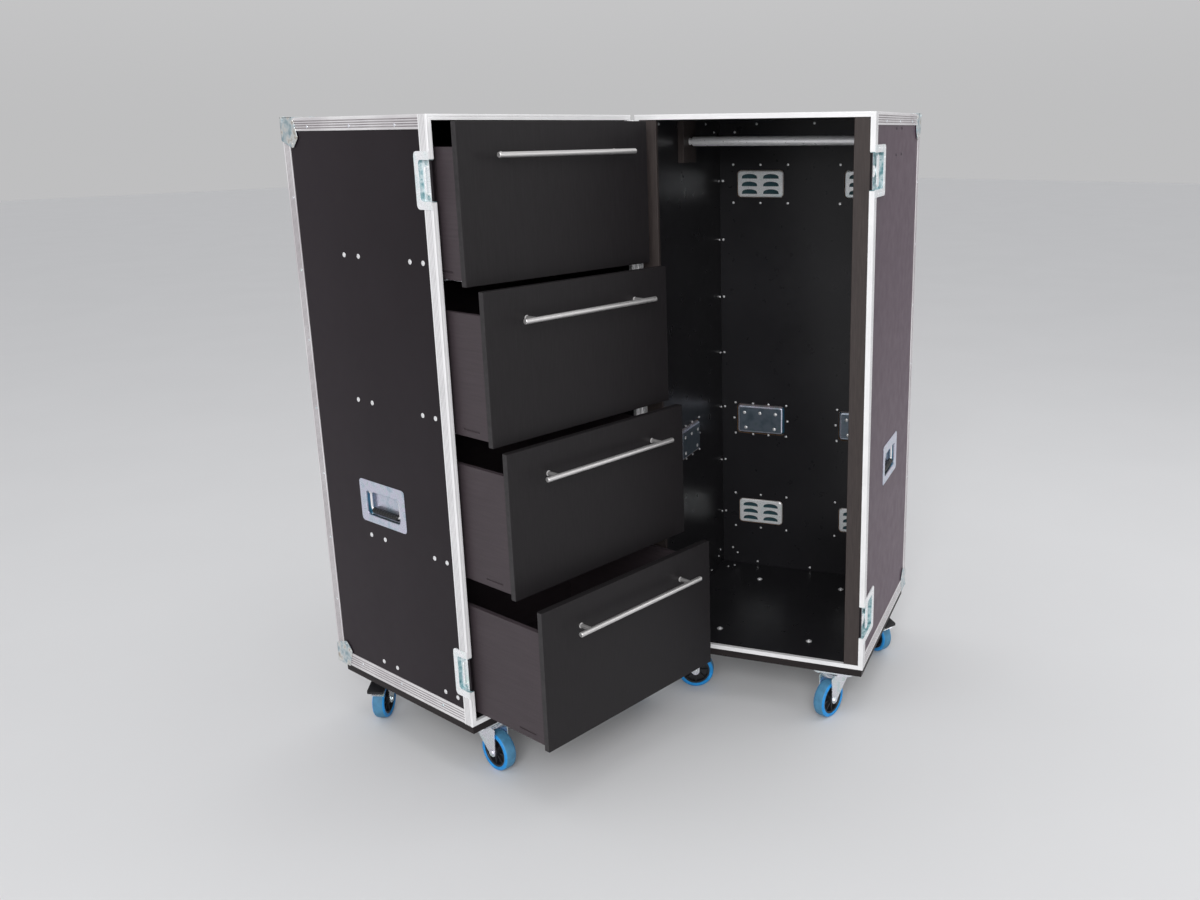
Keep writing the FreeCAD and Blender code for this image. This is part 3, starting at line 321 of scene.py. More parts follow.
# ---- Materials ---------------------------------------------------------------
class Shader:
    """A Principled material and the few nodes that its detail needs."""

    def __init__(self, name, roughness, metallic=0.0, specular=0.5):
        self.material = bpy.data.materials.new(name)
        self.material.use_nodes = True
        self.nodes = self.material.node_tree.nodes
        self.links = self.material.node_tree.links
        self.inputs = self.nodes["Principled BSDF"].inputs
        self.inputs["Metallic"].default_value = metallic
        self.inputs["Specular IOR Level"].default_value = specular
        self.inputs["Roughness"].default_value = roughness
        self.place = self.nodes.new("ShaderNodeTexCoord").outputs["Object"]

    def node(self, kind, values, socket, output):
        """A node with its values set and one socket linked to an output."""
        node = self.nodes.new("ShaderNode" + kind)
        for name, value in values.items():
            node.inputs[name].default_value = value
        self.links.new(output, node.inputs[socket])
        return node

    def noise(self, scale, detail=3.0, stretch=None, roughness=0.5):
        place = self.place
        if stretch:
            mapping = self.node("Mapping", {"Scale": stretch}, "Vector", place)
            place = mapping.outputs["Vector"]
        values = {"Scale": scale, "Detail": detail, "Roughness": roughness}
        return self.node("TexNoise", values, "Vector", place).outputs["Fac"]

    def cells(self, scale):
        node = self.node("TexVoronoi", {"Scale": scale}, "Vector", self.place)
        return node.outputs["Distance"]

    def colour(self, factor, places, tints):
        """Colour from a ramp with these tints at these places."""
        node = self.node("ValToRGB", {}, "Fac", factor)
        elements = node.color_ramp.elements
        while len(elements) < len(tints):
            elements.new(0.5)
        for element, place, tint in zip(elements, places, tints):
            element.position = place
            element.color = (*tint, 1.0)
        self.links.new(node.outputs["Color"], self.inputs["Base Color"])

    def rough(self, factor, low, high, start=0.3, end=0.7):
        """Roughness from low to high as the factor goes from start to end."""
        values = {"From Min": start, "From Max": end, "To Min": low, "To Max": high}
        node = self.node("MapRange", values, "Value", factor)
        self.links.new(node.outputs["Result"], self.inputs["Roughness"])

    def bump(self, height, strength, distance):
        node = self.node("Bump", {"Strength": strength, "Distance": distance}, "Height", height)
        self.links.new(node.outputs["Normal"], self.inputs["Normal"])

    def sheen(self, weight, rough, tint):
        self.inputs["Sheen Weight"].default_value = weight
        self.inputs["Sheen Roughness"].default_value = rough
        self.inputs["Sheen Tint"].default_value = (*tint, 1.0)


def surface(name, tints, pattern, places=(0.3, 0.7), rough=0.5, wear=None, relief=None,
            metallic=0.0, specular=0.5, dust_and_sheen=0.0):
    """A material whose tints follow a noise pattern: scale, detail, stretch and roughness.

    Wear is the noise and the range of the roughness. Relief is the noise, strength and
    distance of the bump; with no noise of its own it follows the tints' pattern.
    """
    make = Shader(name, rough, metallic, specular)
    figure = make.noise(*pattern)
    make.colour(figure, places, tints)
    if wear:
        make.rough(make.noise(*wear[0]), *wear[1])
    if relief:
        noise, strength, distance = relief
        make.bump(make.noise(*noise) if noise else figure, strength, distance)
    # A purple-tinted sheen at a low angle: dust, and a painted reflection tint.
    if dust_and_sheen:
        make.sheen(dust_and_sheen, 0.4, (0.95, 0.50, 0.80))
    return make.material


def film(name, tints, rough, specular, dust_and_sheen=0.0):
    """Smooth black film on plywood, with faint scuffs."""
    return surface(name, tints, (5.0, 6.0), rough=rough, specular=specular, dust_and_sheen=dust_and_sheen,
                   wear=((30.0, 6.0), (rough - 0.03, rough + 0.03)),
                   relief=((420.0, 2.0), 0.04, 0.0001))


def aluminium(name, tints, metallic, patches):
    """Clear-anodised profile, drawn fine."""
    return surface(name, tints, (patches, 4.0), (0.38, 0.62), 0.4, metallic=metallic,
                   wear=((160.0, 4.0), (0.34, 0.42)), relief=((900.0, 2.0), 0.03, 0.0001))


def zinc(name, tints, rough, metallic, patches=26.0):
    """Blue-passivated zinc plate, with its faint rainbow."""
    make = Shader(name, rough, metallic=metallic)
    make.colour(make.noise(patches, 4.0), (0.32, 0.45, 0.58, 0.70), tints)
    make.rough(make.cells(500.0), rough - 0.03, rough + 0.03, 0.0, 0.8)
    make.bump(make.cells(700.0), 0.04, 0.0001)
    return make.material


def steel(name, tint, rough, metallic=1.0):
    """Satin or dark steel, drawn along its length."""
    darker = tuple(c * 0.93 for c in tint)
    return surface(name, (darker, tint), (60.0, 4.0, (0.1, 1.0, 1.0)), (0.35, 0.65), rough,
                   ((120.0, 3.0), (rough - 0.03, rough + 0.03)), metallic=metallic)


def moulded(name, tint, rough, grain, strength=0.15):
    """Rubber or moulded plastic."""
    darker = tuple(c * 0.75 for c in tint)
    return surface(name, (darker, tint), (60.0, 6.0), (0.35, 0.65), rough,
                   ((200.0, 3.0), (rough - 0.06, rough + 0.08)),
                   ((grain, 3.0), strength, 0.0004), specular=0.45)


# Boards and their films: black outside; the inner faces painted paler, as painted light inside
# the halves.
LAMINATE = film("black_laminate", ((0.0044, 0.0034, 0.0042), (0.0070, 0.0054, 0.0067)),
                0.36, 0.18, 0.12)
INNER_PAINTED_LIGHT = film("inner_laminate_painted_light", ((0.0125, 0.0120, 0.0138), (0.0165, 0.0160, 0.0182)),
                  0.30, 0.3)
FRONT = surface("front_board", ((0.0098, 0.0083, 0.0092), (0.0155, 0.0137, 0.0150)),
                (60.0, 8.0, (9.0, 9.0, 0.35), 0.62), wear=((700.0, 2.0), (0.42, 0.54)),
                relief=(None, 0.10, 0.0002), specular=0.24)
BOARD = surface("drawer_board", ((0.045, 0.0345, 0.0395), (0.058, 0.0455, 0.0515)),
                (26.0, 7.0, (1.0, 0.35, 8.0), 0.6), rough=0.55,
                wear=((400.0, 2.0), (0.48, 0.60)), relief=(None, 0.06, 0.0002), specular=0.32)
PLY = surface("ply_edge", ((0.20, 0.11, 0.06), (0.36, 0.21, 0.11)),
              (40.0, 6.0, (1.0, 1.0, 18.0)), (0.38, 0.55), 0.7,
              relief=(None, 0.25, 0.0004), specular=0.25)
CASTOR_PLY = surface("castor_ply", ((0.007, 0.0055, 0.006), (0.019, 0.013, 0.013)),
                     (9.0, 7.0, (1.0, 1.0, 30.0), 0.6), (0.35, 0.65), 0.55,
                     relief=(None, 0.2, 0.0004), specular=0.3)
EDGE_BAND = surface("edge_band", ((0.016, 0.014, 0.015), (0.026, 0.023, 0.025)),
                    (90.0, 5.0), (0.35, 0.65), 0.42,
                    relief=((500.0, 2.0), 0.1, 0.0002), specular=0.4)
STILE = surface("stile_board", ((0.036, 0.028, 0.027), (0.054, 0.043, 0.040)),
                (50.0, 6.0, (6.0, 6.0, 0.4), 0.6), relief=(None, 0.08, 0.0002), specular=0.3)
RAW_EDGE = surface("raw_edge", ((0.05, 0.043, 0.045), (0.22, 0.19, 0.20)), (170.0, 5.0),
                   (0.36, 0.6), 0.6, relief=(None, 0.3, 0.0004), specular=0.35)

# Profiles, and the painted shade in their grooves.
ALUMINIUM = aluminium("aluminium", ((0.85, 0.845, 0.85), (0.90, 0.895, 0.90)), 0.15, 14.0)
ANGLE_METAL = aluminium("angle_aluminium", ((0.66, 0.63, 0.645), (0.88, 0.865, 0.87)),
                        0.4, 4.0)
GROOVE_SHADE = aluminium("groove_painted_shade", ((0.28, 0.25, 0.265), (0.40, 0.37, 0.385)), 0.3, 14.0)
PALE_GROOVE_SHADE = aluminium("pale_groove_painted_shade", ((0.52, 0.51, 0.52), (0.60, 0.59, 0.60)), 0.2, 14.0)

# Zinc plate: its own tints, a paler copy as painted light, and darker copies as painted shade
# for what lies in a pan's shade.
ZINC = zinc("zinc", ((0.60, 0.76, 0.80), (0.82, 0.86, 0.88), (0.84, 0.83, 0.90),
                     (0.66, 0.82, 0.76)), 0.26, 0.85)
AGED_ZINC = zinc("aged_zinc", ((0.30, 0.42, 0.47), (0.54, 0.62, 0.65), (0.74, 0.74, 0.72),
                               (0.46, 0.42, 0.36)), 0.30, 0.7, 60.0)
DISH_ZINC = zinc("dish_zinc", ((0.46, 0.56, 0.66), (0.62, 0.66, 0.76), (0.66, 0.64, 0.77),
                               (0.54, 0.66, 0.68)), 0.28, 0.75, 40.0)
# The pans' backs, seen from inside: painted shade.
BACK_SHADE_ZINC = zinc("pan_back_zinc_painted_shade", ((0.09, 0.12, 0.15), (0.12, 0.155, 0.19), (0.14, 0.17, 0.21),
                               (0.11, 0.15, 0.17)), 0.32, 0.5, 40.0)
# Plates painted lighter: painted light.
LIT_ZINC = zinc("zinc_painted_light", ((0.78, 0.86, 0.88), (0.90, 0.92, 0.93), (0.92, 0.92, 0.94),
                               (0.82, 0.90, 0.88)), 0.28, 0.35)
# Teal passivation, darkened in the latch pans and under the wing: painted shade.
TEAL_SHADE_ZINC = zinc("teal_zinc_painted_shade", ((0.09, 0.26, 0.29), (0.34, 0.52, 0.55), (0.70, 0.78, 0.80),
                               (0.16, 0.36, 0.38)), 0.32, 0.5, 70.0)
# Blue passivation of a pan's side walls, darkened: painted shade.
SIDE_SHADE_ZINC = zinc("side_wall_zinc_painted_shade", ((0.03, 0.14, 0.24), (0.05, 0.20, 0.32), (0.07, 0.20, 0.34),
                               (0.04, 0.16, 0.24)), 0.35, 0.5)
# What lies in a pan's shade and inside the louvres: painted shade.
SHADED_ZINC = zinc("shaded_zinc", ((0.010, 0.045, 0.055), (0.014, 0.055, 0.065),
                                   (0.014, 0.05, 0.065), (0.010, 0.05, 0.055)), 0.5, 0.2)

SATIN = steel("satin_steel", (0.67, 0.655, 0.65), 0.36, 0.8)
RAIL = steel("rail_steel", (0.96, 0.96, 0.97), 0.30, 0.4)
STUD = steel("stud_steel", (0.86, 0.86, 0.87), 0.30, 0.5)
DARK_BOLT = steel("black_bolt", (0.10, 0.09, 0.10), 0.42)
GRIP = moulded("black_grip", (0.004, 0.004, 0.005), 0.45, 900.0)
PEDAL = moulded("black_pedal", (0.014, 0.014, 0.016), 0.45, 500.0)
RIM = moulded("black_rim", (0.016, 0.017, 0.020), 0.4, 400.0)
TYRE = moulded("blue_tyre", (0.012, 0.31, 0.78), 0.42, 600.0)
TREAD = moulded("worn_tread", (0.075, 0.25, 0.42), 0.6, 350.0, 0.3)


# ---- Making pieces -----------------------------------------------------------
def piece(name, bm, to_metres, body, slot, finishes, stands_for=(), bevel=0.0, sharp=35):
    """Turn a drawing into a piece of the object that rides on a body."""
    bmesh.ops.transform(bm, matrix=to_metres, verts=bm.verts)
    bmesh.ops.recalc_face_normals(bm, faces=bm.faces)
    mesh = bpy.data.meshes.new(name)
    bm.to_mesh(mesh)
    bm.free()
    for finish in finishes:
        mesh.materials.append(finish)
    mesh.shade_smooth()
    mesh.set_sharp_from_angle(angle=math.radians(sharp))
    made = bpy.data.objects.new(name, mesh)
    bpy.context.scene.collection.objects.link(made)
    if bevel:
        rounding = made.modifiers.new("rounded edges", "BEVEL")
        rounding.width = bevel * MM
        rounding.segments = 2
        rounding.limit_method = "ANGLE"
        rounding.angle_limit = math.radians(sharp)
        made.modifiers.new("flat faces", "WEIGHTED_NORMAL").keep_sharp = True
    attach(made, body)
    if stands_for:
        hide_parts(*stands_for)
    return made


def half_piece(name, bm, half, slot, finishes, stands_for=(), **looks):
    """A piece drawn in its half's frame, which rides on that half."""
    return piece(name, bm, half_matrix(half), half, slot, finishes, stands_for, **looks)


def since(bm, count, finish):
    """Give the faces drawn after the first count another of the piece's finishes."""
    bm.faces.ensure_lookup_table()
    for face in bm.faces[count:]:
        face.material_index = finish


# ---- Walls -------------------------------------------------------------------
PAN = (152.0, 92.0)
VENT_PAN = (142.0, 78.0)
PAN_ROUND = 12.0
PAN_FIT = 0.5
PAN_SHEET = 1.2
OUTER_EDGE = 1.0
LATCH_PAN_HIGH = 87.0
PAN_LONG = {"drawer_case": 40.0, "wardrobe": 100.0}

HANDLES = {"drawer_case": [], "wardrobe": []}
for node in ("drawer_case_handle_dish", "wardrobe_handle_dishes"):
    for low, high in boxes(node):
        HANDLES[half_of(node)].append((*wall_of(half_of(node), (low + high) / 2),
                                       (low.z + high.z) / 2))
VENTS = [((low.x + high.x) / 2, (low.z + high.z) / 2) for low, high in boxes("back_vents")]
LATCHES = sorted(((low.z + high.z) / 2 for low, high in boxes("latch_dishes")), reverse=True)
LATCH_CUTS = [(z - LATCH_PAN_HIGH / 2 - PAN_FIT, z + LATCH_PAN_HIGH / 2 + PAN_FIT)
              for z in sorted(LATCHES)]


def hole(size, middle):
    return rounded_rect(size[0] + 2 * PAN_FIT, size[1] + 2 * PAN_FIT, PAN_ROUND, middle)


def wall_panel(name, half, wall, span, height, holes):
    """A plywood wall with the holes of its handles and vents.

    The span runs along the wall, in depth or across, as the wall's own matrix has it.
    The edges of its holes show the plies, and its inner face is painted paler, as painted light.
    """
    bm = bmesh.new()
    outline = [(span[0], height[0]), (span[1], height[0]), (span[1], height[1]),
               (span[0], height[1])]
    if wall == "free":
        reach = PAN_LONG[half] + PAN_FIT
        for low, high in LATCH_CUTS[::-1]:
            outline += [(span[0], high), (reach, high), (reach, low), (span[0], low)]
    plate(bm, [outline] + holes, -PANEL, 0.0)
    bm.normal_update()
    for face in bm.faces:
        centre = face.calc_center_median()
        inside = (span[0] + OUTER_EDGE < centre.x < span[1] - OUTER_EDGE
                  and height[0] + OUTER_EDGE < centre.y < height[1] - OUTER_EDGE)
        if abs(face.normal.z) < 0.5 and inside:
            face.material_index = 1
        # The inner face: painted paler, as painted light.
        elif centre.z < -PANEL + 0.1:
            face.material_index = 2
    origin = wall_matrix(half, wall, 0.0, 0.0)
    flip = (origin.to_3x3() @ Vector((1, 0, 0))).normalized()
    along = half_matrix(half).to_3x3() @ Vector((1, 0, 0) if wall == "back" else (0, 1, 0))
    if flip.dot(along.normalized()) < 0:
        bmesh.ops.scale(bm, vec=(-1, 1, 1), verts=bm.verts)
    piece(name, bm, origin, half, "black_laminate", [LAMINATE, PLY, INNER_PAINTED_LIGHT], bevel=0.4)


def walls(half):
    depth = (CLOSING_FACE + TRIM, DEPTH[half] - TRIM)
    height = (BOX_BOTTOM + TRIM, BOX_TOP - TRIM)
    for wall in ("free", "hinge"):
        holes = [hole(PAN, (along, z)) for side, along, z in HANDLES[half] if side == wall]
        wall_panel(half + "_" + wall + "_wall", half, wall, depth, height, holes)
    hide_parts(half + "_side_panels")
    holes = [hole(PAN, (along, z)) for side, along, z in HANDLES[half] if side == "back"]
    if half == "wardrobe":
        holes += [hole(VENT_PAN, vent) for vent in VENTS]
    wall_panel(half + "_back_wall", half, "back", (WALL, WIDTH - WALL), height, holes)
    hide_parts(half + "_back_panel")
    bm = bmesh.new()
    for start in (BOX_BOTTOM + TRIM, BOX_TOP - WALL):
        slab(bm, (WALL, CLOSING_FACE + TRIM, start),
             (WIDTH - WALL, DEPTH[half] - WALL, start + PANEL))
    # The inner faces of top and floor: painted paler, as painted light.
    for face in bm.faces:
        if BOX_BOTTOM + WALL - 1 < face.calc_center_median().z < BOX_TOP - WALL + 1:
            face.material_index = 1
    half_piece(half + "_top_and_floor", bm, half, "black_laminate",
               [LAMINATE, INNER_PAINTED_LIGHT], [half + "_top_and_bottom"], bevel=0.4)


# ---- Aluminium edges ---------------------------------------------------------
def ridged(start, end, grooves):
    """Points (along, sink) of a profile's outside face, with fine grooves."""
    points = [(start, 0.0)]
    pitch = (end - start) / (grooves + 1)
    for number in range(1, grooves + 1):
        middle = start + number * pitch
        points += [(middle - GROOVE_WIDE, 0.0), (middle - GROOVE_WIDE / 2, GROOVE_DEEP),
                   (middle + GROOVE_WIDE / 2, GROOVE_DEEP), (middle + GROOVE_WIDE, 0.0)]
    return points + [(end, 0.0)]


def groove_shade_finishes(profile):
    """The second finish, painted shade, for the faces that go down into a profile's grooves."""
    pairs = zip(profile, profile[1:] + profile[:1])
    return [1 if GROOVE_DEEP in one or GROOVE_DEEP in two else 0 for one, two in pairs]


def closing_profile():
    """The closing frame's section as (inset from the outside face, depth)."""
    face = CLOSING_FACE
    nose = 1.0
    outside = [(sink, at) for at, sink in ridged(face + 4.0, CLOSING_LEG - 1.5, 4)]
    lip = [(0.0, face + nose), (nose, face)]
    groove = [(5.0, face), (5.5, face + 0.35), (6.5, face + 0.35), (7.0, face)]
    lip_back = CLOSING_FLANGE - 0.4
    inner = [(CLOSING_FLANGE, face), (CLOSING_FLANGE, face + CLOSING_LIP),
             (lip_back, face + CLOSING_LIP), (lip_back, face + TRIM), (TRIM, face + TRIM),
             (TRIM, CLOSING_LEG), (0.4, CLOSING_LEG)]
    return outside[::-1] + lip + groove + inner


def closing_frame(half):
    """A mitred ring round the closing plane, cut away at the latches."""
    profile = closing_profile()
    lower, upper = LATCH_CUTS
    bm = bmesh.new()

    def station(across, z, sx, sz):
        return [(across + sx * sunk, depth, z + sz * sunk) for sunk, depth in profile]

    def level(z):
        return [(WIDTH - sunk, depth, z) for sunk, depth in profile]

    loops = [level(upper[1]), station(WIDTH, BOX_TOP, -1, -1), station(0, BOX_TOP, 1, -1),
             station(0, BOX_BOTTOM, 1, 1), station(WIDTH, BOX_BOTTOM, -1, 1), level(lower[0])]
    shades = groove_shade_finishes(profile)
    loft(bm, loops, finishes=shades)
    loft(bm, [level(lower[1]), level(upper[0])], finishes=shades)
    half_piece(half + "_closing_profile", bm, half, "aluminium_profile",
               [ALUMINIUM, PALE_GROOVE_SHADE], [half + "_closing_frame"], sharp=25)
    # A black strip of board filling the inner part of the wall's thickness at each latch cut.
    bm = bmesh.new()
    for start, end in LATCH_CUTS:
        slab(bm, (WIDTH - WALL, CLOSING_FACE + TRIM, start),
             (WIDTH - WALL + CUT_EDGE, CLOSING_FACE + CLOSING_LIP, end))
    half_piece(half + "_latch_cut_edges", bm, half, "black_laminate", [LAMINATE])


def angle_profile(first, second):
    """An angle's section from its outer corner: legs along X and Y, ridged outside."""
    nose = 2.2
    steps = 4
    along = ridged(nose + 1.0, first - 1.0, 4)
    upright = ridged(nose + 1.0, second - 1.0, 4)
    corner = [(nose - nose * math.cos(math.pi / 2 * i / steps),
               nose - nose * math.sin(math.pi / 2 * i / steps)) for i in range(steps + 1)]
    outside = [(sink, at) for at, sink in upright[::-1]] + corner
    outside += [(at, sink) for at, sink in along]
    return outside + [(first, 0.5), (first, TRIM), (TRIM, TRIM), (TRIM, second), (0.5, second)]


def angle_bar(bm, corner, legs, run, reach):
    """An angle along a run; legs are its two directions and reach their lengths."""
    profile = angle_profile(*reach)
    ends = [[Vector(end) + legs[0] * x + legs[1] * y + corner for x, y in profile]
            for end in run]
    loft(bm, ends, finishes=groove_shade_finishes(profile))


def edge_angles(half):
    bm = bmesh.new()
    deep = DEPTH[half]
    inward = {0.0: Vector((1, 0, 0)), WIDTH: Vector((-1, 0, 0))}
    forward = Vector((0, -1, 0))
    for z, up, leg in ((BOX_TOP, Vector((0, 0, -1)), ANGLE_LEG),
                       (BOX_BOTTOM, Vector((0, 0, 1)), BOTTOM_ANGLE_LEG)):
        for across, level in inward.items():
            run = ((0, CLOSING_LEG, 0), (0, deep - TRIM, 0))
            angle_bar(bm, Vector((across, 0, z)), (level, up), run, (ANGLE_LEG, leg))
        run = ((TRIM, 0, 0), (WIDTH - TRIM, 0, 0))
        angle_bar(bm, Vector((0, deep, z)), (forward, up), run, (ANGLE_LEG, leg))
    for across, level in inward.items():
        run = ((0, 0, BOX_BOTTOM + TRIM), (0, 0, BOX_TOP - TRIM))
        angle_bar(bm, Vector((across, deep, 0)), (level, forward), run, (ANGLE_LEG, ANGLE_LEG))
    half_piece(half + "_edge_angles", bm, half, "aluminium_profile",
               [ANGLE_METAL, GROOVE_SHADE], [half + "_edge_trim"], sharp=25)


def corner_leaf(bm, corner, one, two, outward):
    """One leaf of a ball corner: two lobes, each with its rivet."""
    at = Matrix((one, two, outward)).transposed().to_4x4()
    at.translation = corner
    far, near = CORNER_RIVET
    start = -CORNER_SHEET
    outline = [(start, start), (52.0, start), (57.0, 10.0), (66.0, 36.0)]
    for x, y, turn in ((far, near, -30), (near, far, 30)):
        outline += [(x + CORNER_LOBE * math.cos(a), y + CORNER_LOBE * math.sin(a))
                    for a in (math.radians(turn + 18 * step) for step in range(6))]
    outline += [(36.0, 66.0), (10.0, 57.0), (start, 52.0)]
    plate(bm, [outline], 0.0, CORNER_SHEET, at)
    for x, y in ((far, near), (near, far)):
        dome(bm, at, (4.4, 1.6), (x, y, CORNER_SHEET))


BALL = 9.75
BALL_SINK = 5.3
BALL_STEPS = 10


def ball_corners(half):
    """Pressed caps on the back corners: their leaves and a ball each."""
    bm = bmesh.new()
    deep = DEPTH[half]
    for across, sx in ((0.0, 1.0), (WIDTH, -1.0)):
        for z, sz in ((BOX_TOP, -1.0), (BOX_BOTTOM, 1.0)):
            corner = Vector((across, deep, z))
            axes = (Vector((sx, 0, 0)), Vector((0, -1, 0)), Vector((0, 0, sz)))
            # The castor board covers the bottom, so no leaf lies there.
            for number in range(3 if sz < 0 else 2):
                one, two = (axes[i] for i in range(3) if i != number)
                corner_leaf(bm, corner, one, two, -axes[number])
            start = -BALL if sz < 0 else -BALL_SINK
            levels = [start + (BALL - start) * i / BALL_STEPS for i in range(BALL_STEPS + 1)]
            profile = [(math.sqrt(max(BALL ** 2 - level ** 2, 0.0)), level) for level in levels]
            centre = corner + sum(axes, Vector()) * BALL_SINK
            lathe(bm, profile, 24, Matrix.Translation(centre))
    half_piece(half + "_ball_corners", bm, half, "zinc_steel", [AGED_ZINC], bevel=0.35)


# ---- Rivets, bolts and screws ------------------------------------------------
DISH_RIVETS = [(x, y) for x in (-82, -25, 25, 82) for y in (-49, 49)] + [(-86, 0), (86, 0)]
VENT_RIVETS = [(x, y) for x in (-84, 0, 84) for y in (-55, 55)]
PLATE_RIVET = (2.9, 1.2)
RIVET_HEAD_MOST = 1.7
WASHERED_BOLT = [(0, 0), (8.5, 0), (8.5, 0.8), (5.6, 1.0), (5.2, 3.0), (3.6, 4.4), (0, 4.8)]
SOCKET_BOLT = [(0, 0), (5.8, 0), (5.8, 0.6), (5.2, 1.2), (3.6, 1.9), (1.9, 2.0), (1.6, 1.2),
               (0, 1.1)]
HINGE_SCREW = [(0, 0), (3.4, 0), (3.4, 0.3), (2.6, 0.8), (0, 0.9)]
RIVET_TAIL = [(0, 0), (3.5, 0), (3.5, 0.7), (2.0, 0.9), (2.0, 2.6), (0, 2.9)]
TAIL_ROOM = 6.0
HINGE_SCREW_DEPTH = 22.0
HINGE_SCREWS = 14
HINGE_SCREW_END = 60.0
HINGE_LEAF = 1.4


def hinge_screw_levels():
    span = BOX_TOP - BOX_BOTTOM - 2 * HINGE_SCREW_END
    return [BOX_BOTTOM + HINGE_SCREW_END + number * span / (HINGE_SCREWS - 1)
            for number in range(HINGE_SCREWS)]


def fasteners(half):
    """Every rivet and bolt head where the frame has one."""
    rivets, bolts, dark = bmesh.new(), bmesh.new(), bmesh.new()
    for low, high in boxes(half + "_fasteners"):
        middle = (low + high) / 2
        size = high - low
        outward = Vector((0, 0, 1))
        if size.x < min(size.y, size.z):
            outward = Vector((1 if middle.x > WIDTH / 2 else -1, 0, 0))
        elif size.y < size.z:
            outward = Vector((0, 1, 0))
        at = onto(middle - outward * min(size) / 2, outward)
        if min(size) < RIVET_HEAD_MOST:
            dome(rivets, at, (3.6, 1.4))
        elif half == "drawer_case":
            lathe(bolts, SOCKET_BOLT, 16, at)
        elif outward.z > 0:
            lathe(bolts, WASHERED_BOLT, 16, at)
        else:
            dome(dark, at, (3.9, 2.0))
    half_piece(half + "_rivet_heads", rivets, half, "zinc_steel", [ZINC],
               [half + "_fasteners"])
    half_piece(half + "_bolt_heads", bolts, half, "zinc_steel", [STUD])
    if half == "wardrobe":
        half_piece("rail_pad_bolt_heads", dark, half, "zinc_steel", [DARK_BOLT])
    else:
        dark.free()


def rivet_tails():
    """Rivet tails on the inner faces of the wardrobe half."""
    bm = bmesh.new()
    deep = DEPTH["wardrobe"]
    inner_back = deep - WALL
    places = []
    for low, high in boxes("wardrobe_fasteners"):
        if min(high - low) < RIVET_HEAD_MOST:
            middle = (low + high) / 2
            places.append((*wall_of("wardrobe", middle), middle.z))
    for across, z in VENTS:
        places += [("back", across + x, z + y) for x, y in VENT_RIVETS]
    for wall, along, z in HANDLES["wardrobe"]:
        places += [(wall, along + x, z + y) for x, y in DISH_RIVETS]
    places += [("hinge", HINGE_SCREW_DEPTH, z) for z in hinge_screw_levels()]
    corner_rivets = (CORNER_RIVET, CORNER_RIVET[::-1])
    for level, up in ((BOX_BOTTOM, 1.0), (BOX_TOP, -1.0)):
        for a, b in corner_rivets:
            places += [("back", a, level + up * b), ("back", WIDTH - a, level + up * b)]
            places += [(wall, deep - a, level + up * b) for wall in ("hinge", "free")]
    edge = WALL + TAIL_ROOM
    for wall, along, z in places:
        z = min(max(z, BOX_BOTTOM + edge), BOX_TOP - edge)
        if wall == "back":
            at = onto((min(max(along, edge), WIDTH - edge), inner_back, z), (0, -1, 0))
        else:
            across, inward = (WALL, 1) if wall == "hinge" else (WIDTH - WALL, -1)
            at = onto((across, min(along, inner_back - TAIL_ROOM), z), (inward, 0, 0))
        lathe(bm, RIVET_TAIL, 10, at)
    for a, b in corner_rivets:
        for across in (a, WIDTH - a):
            at = onto((across, deep - b, BOX_BOTTOM + WALL), (0, 0, 1))
            lathe(bm, RIVET_TAIL, 10, at)
    half_piece("wardrobe_rivet_tails", bm, "wardrobe", "zinc_steel", [STUD])


# ---- Recessed handles and vents ----------------------------------------------
DISH = (183.0, 108.0)
DISH_ROUND = 10.0
MOUTH = (141.0, 66.0)
MOUTH_ROUND = 13.0
MOUTH_RISE = -5.0
PAN_DEPTH = 17.0
PAN_DRAFT = 3.0
PAN_FILLET = 6.0
STEP = (128.0, 30.0)
STEP_RISE = 21.0
STEP_HEIGHT = 1.2


def handle_pan(bm, at):
    """The pressed pan, with round corners and sloping sides, open at the front.

    Its side walls, its lower wall and its flat back are painted darker, as painted shade; the
    side walls keep a blue passivation tint.
    """
    cut = PAN_FILLET * 0.3
    draft, back = PAN_DRAFT, PAN_DRAFT + PAN_SHEET
    rings = ((draft + PAN_FILLET, -PAN_DEPTH), (draft + cut, -PAN_DEPTH + cut),
             (draft, -PAN_DEPTH + PAN_FILLET), (0.0, -0.2), (PAN_SHEET, -0.2),
             (back, -PAN_DEPTH + PAN_FILLET), (back + cut, -PAN_DEPTH + PAN_SHEET + cut),
             (back + PAN_FILLET, -PAN_DEPTH + PAN_SHEET))
    first = len(bm.faces)
    loft(bm, [inset(PAN, PAN_ROUND, *ring) for ring in rings], at=at)
    to_wall = at.inverted()
    bm.faces.ensure_lookup_table()
    for face in bm.faces[first:]:
        centre = to_wall @ face.calc_center_median()
        # Painted shade: the back's outer face, the lower wall and the side walls; the fillets
        # keep the plate's zinc.
        if centre.z < -PAN_DEPTH + 0.3:
            face.material_index = 3
        elif centre.z < -PAN_DEPTH + 1.6:
            continue
        elif centre.y < -PAN[1] / 2 + PAN_FILLET:
            face.material_index = 2
        elif abs(centre.x) > PAN[0] / 2 - PAN_FILLET:
            face.material_index = 1


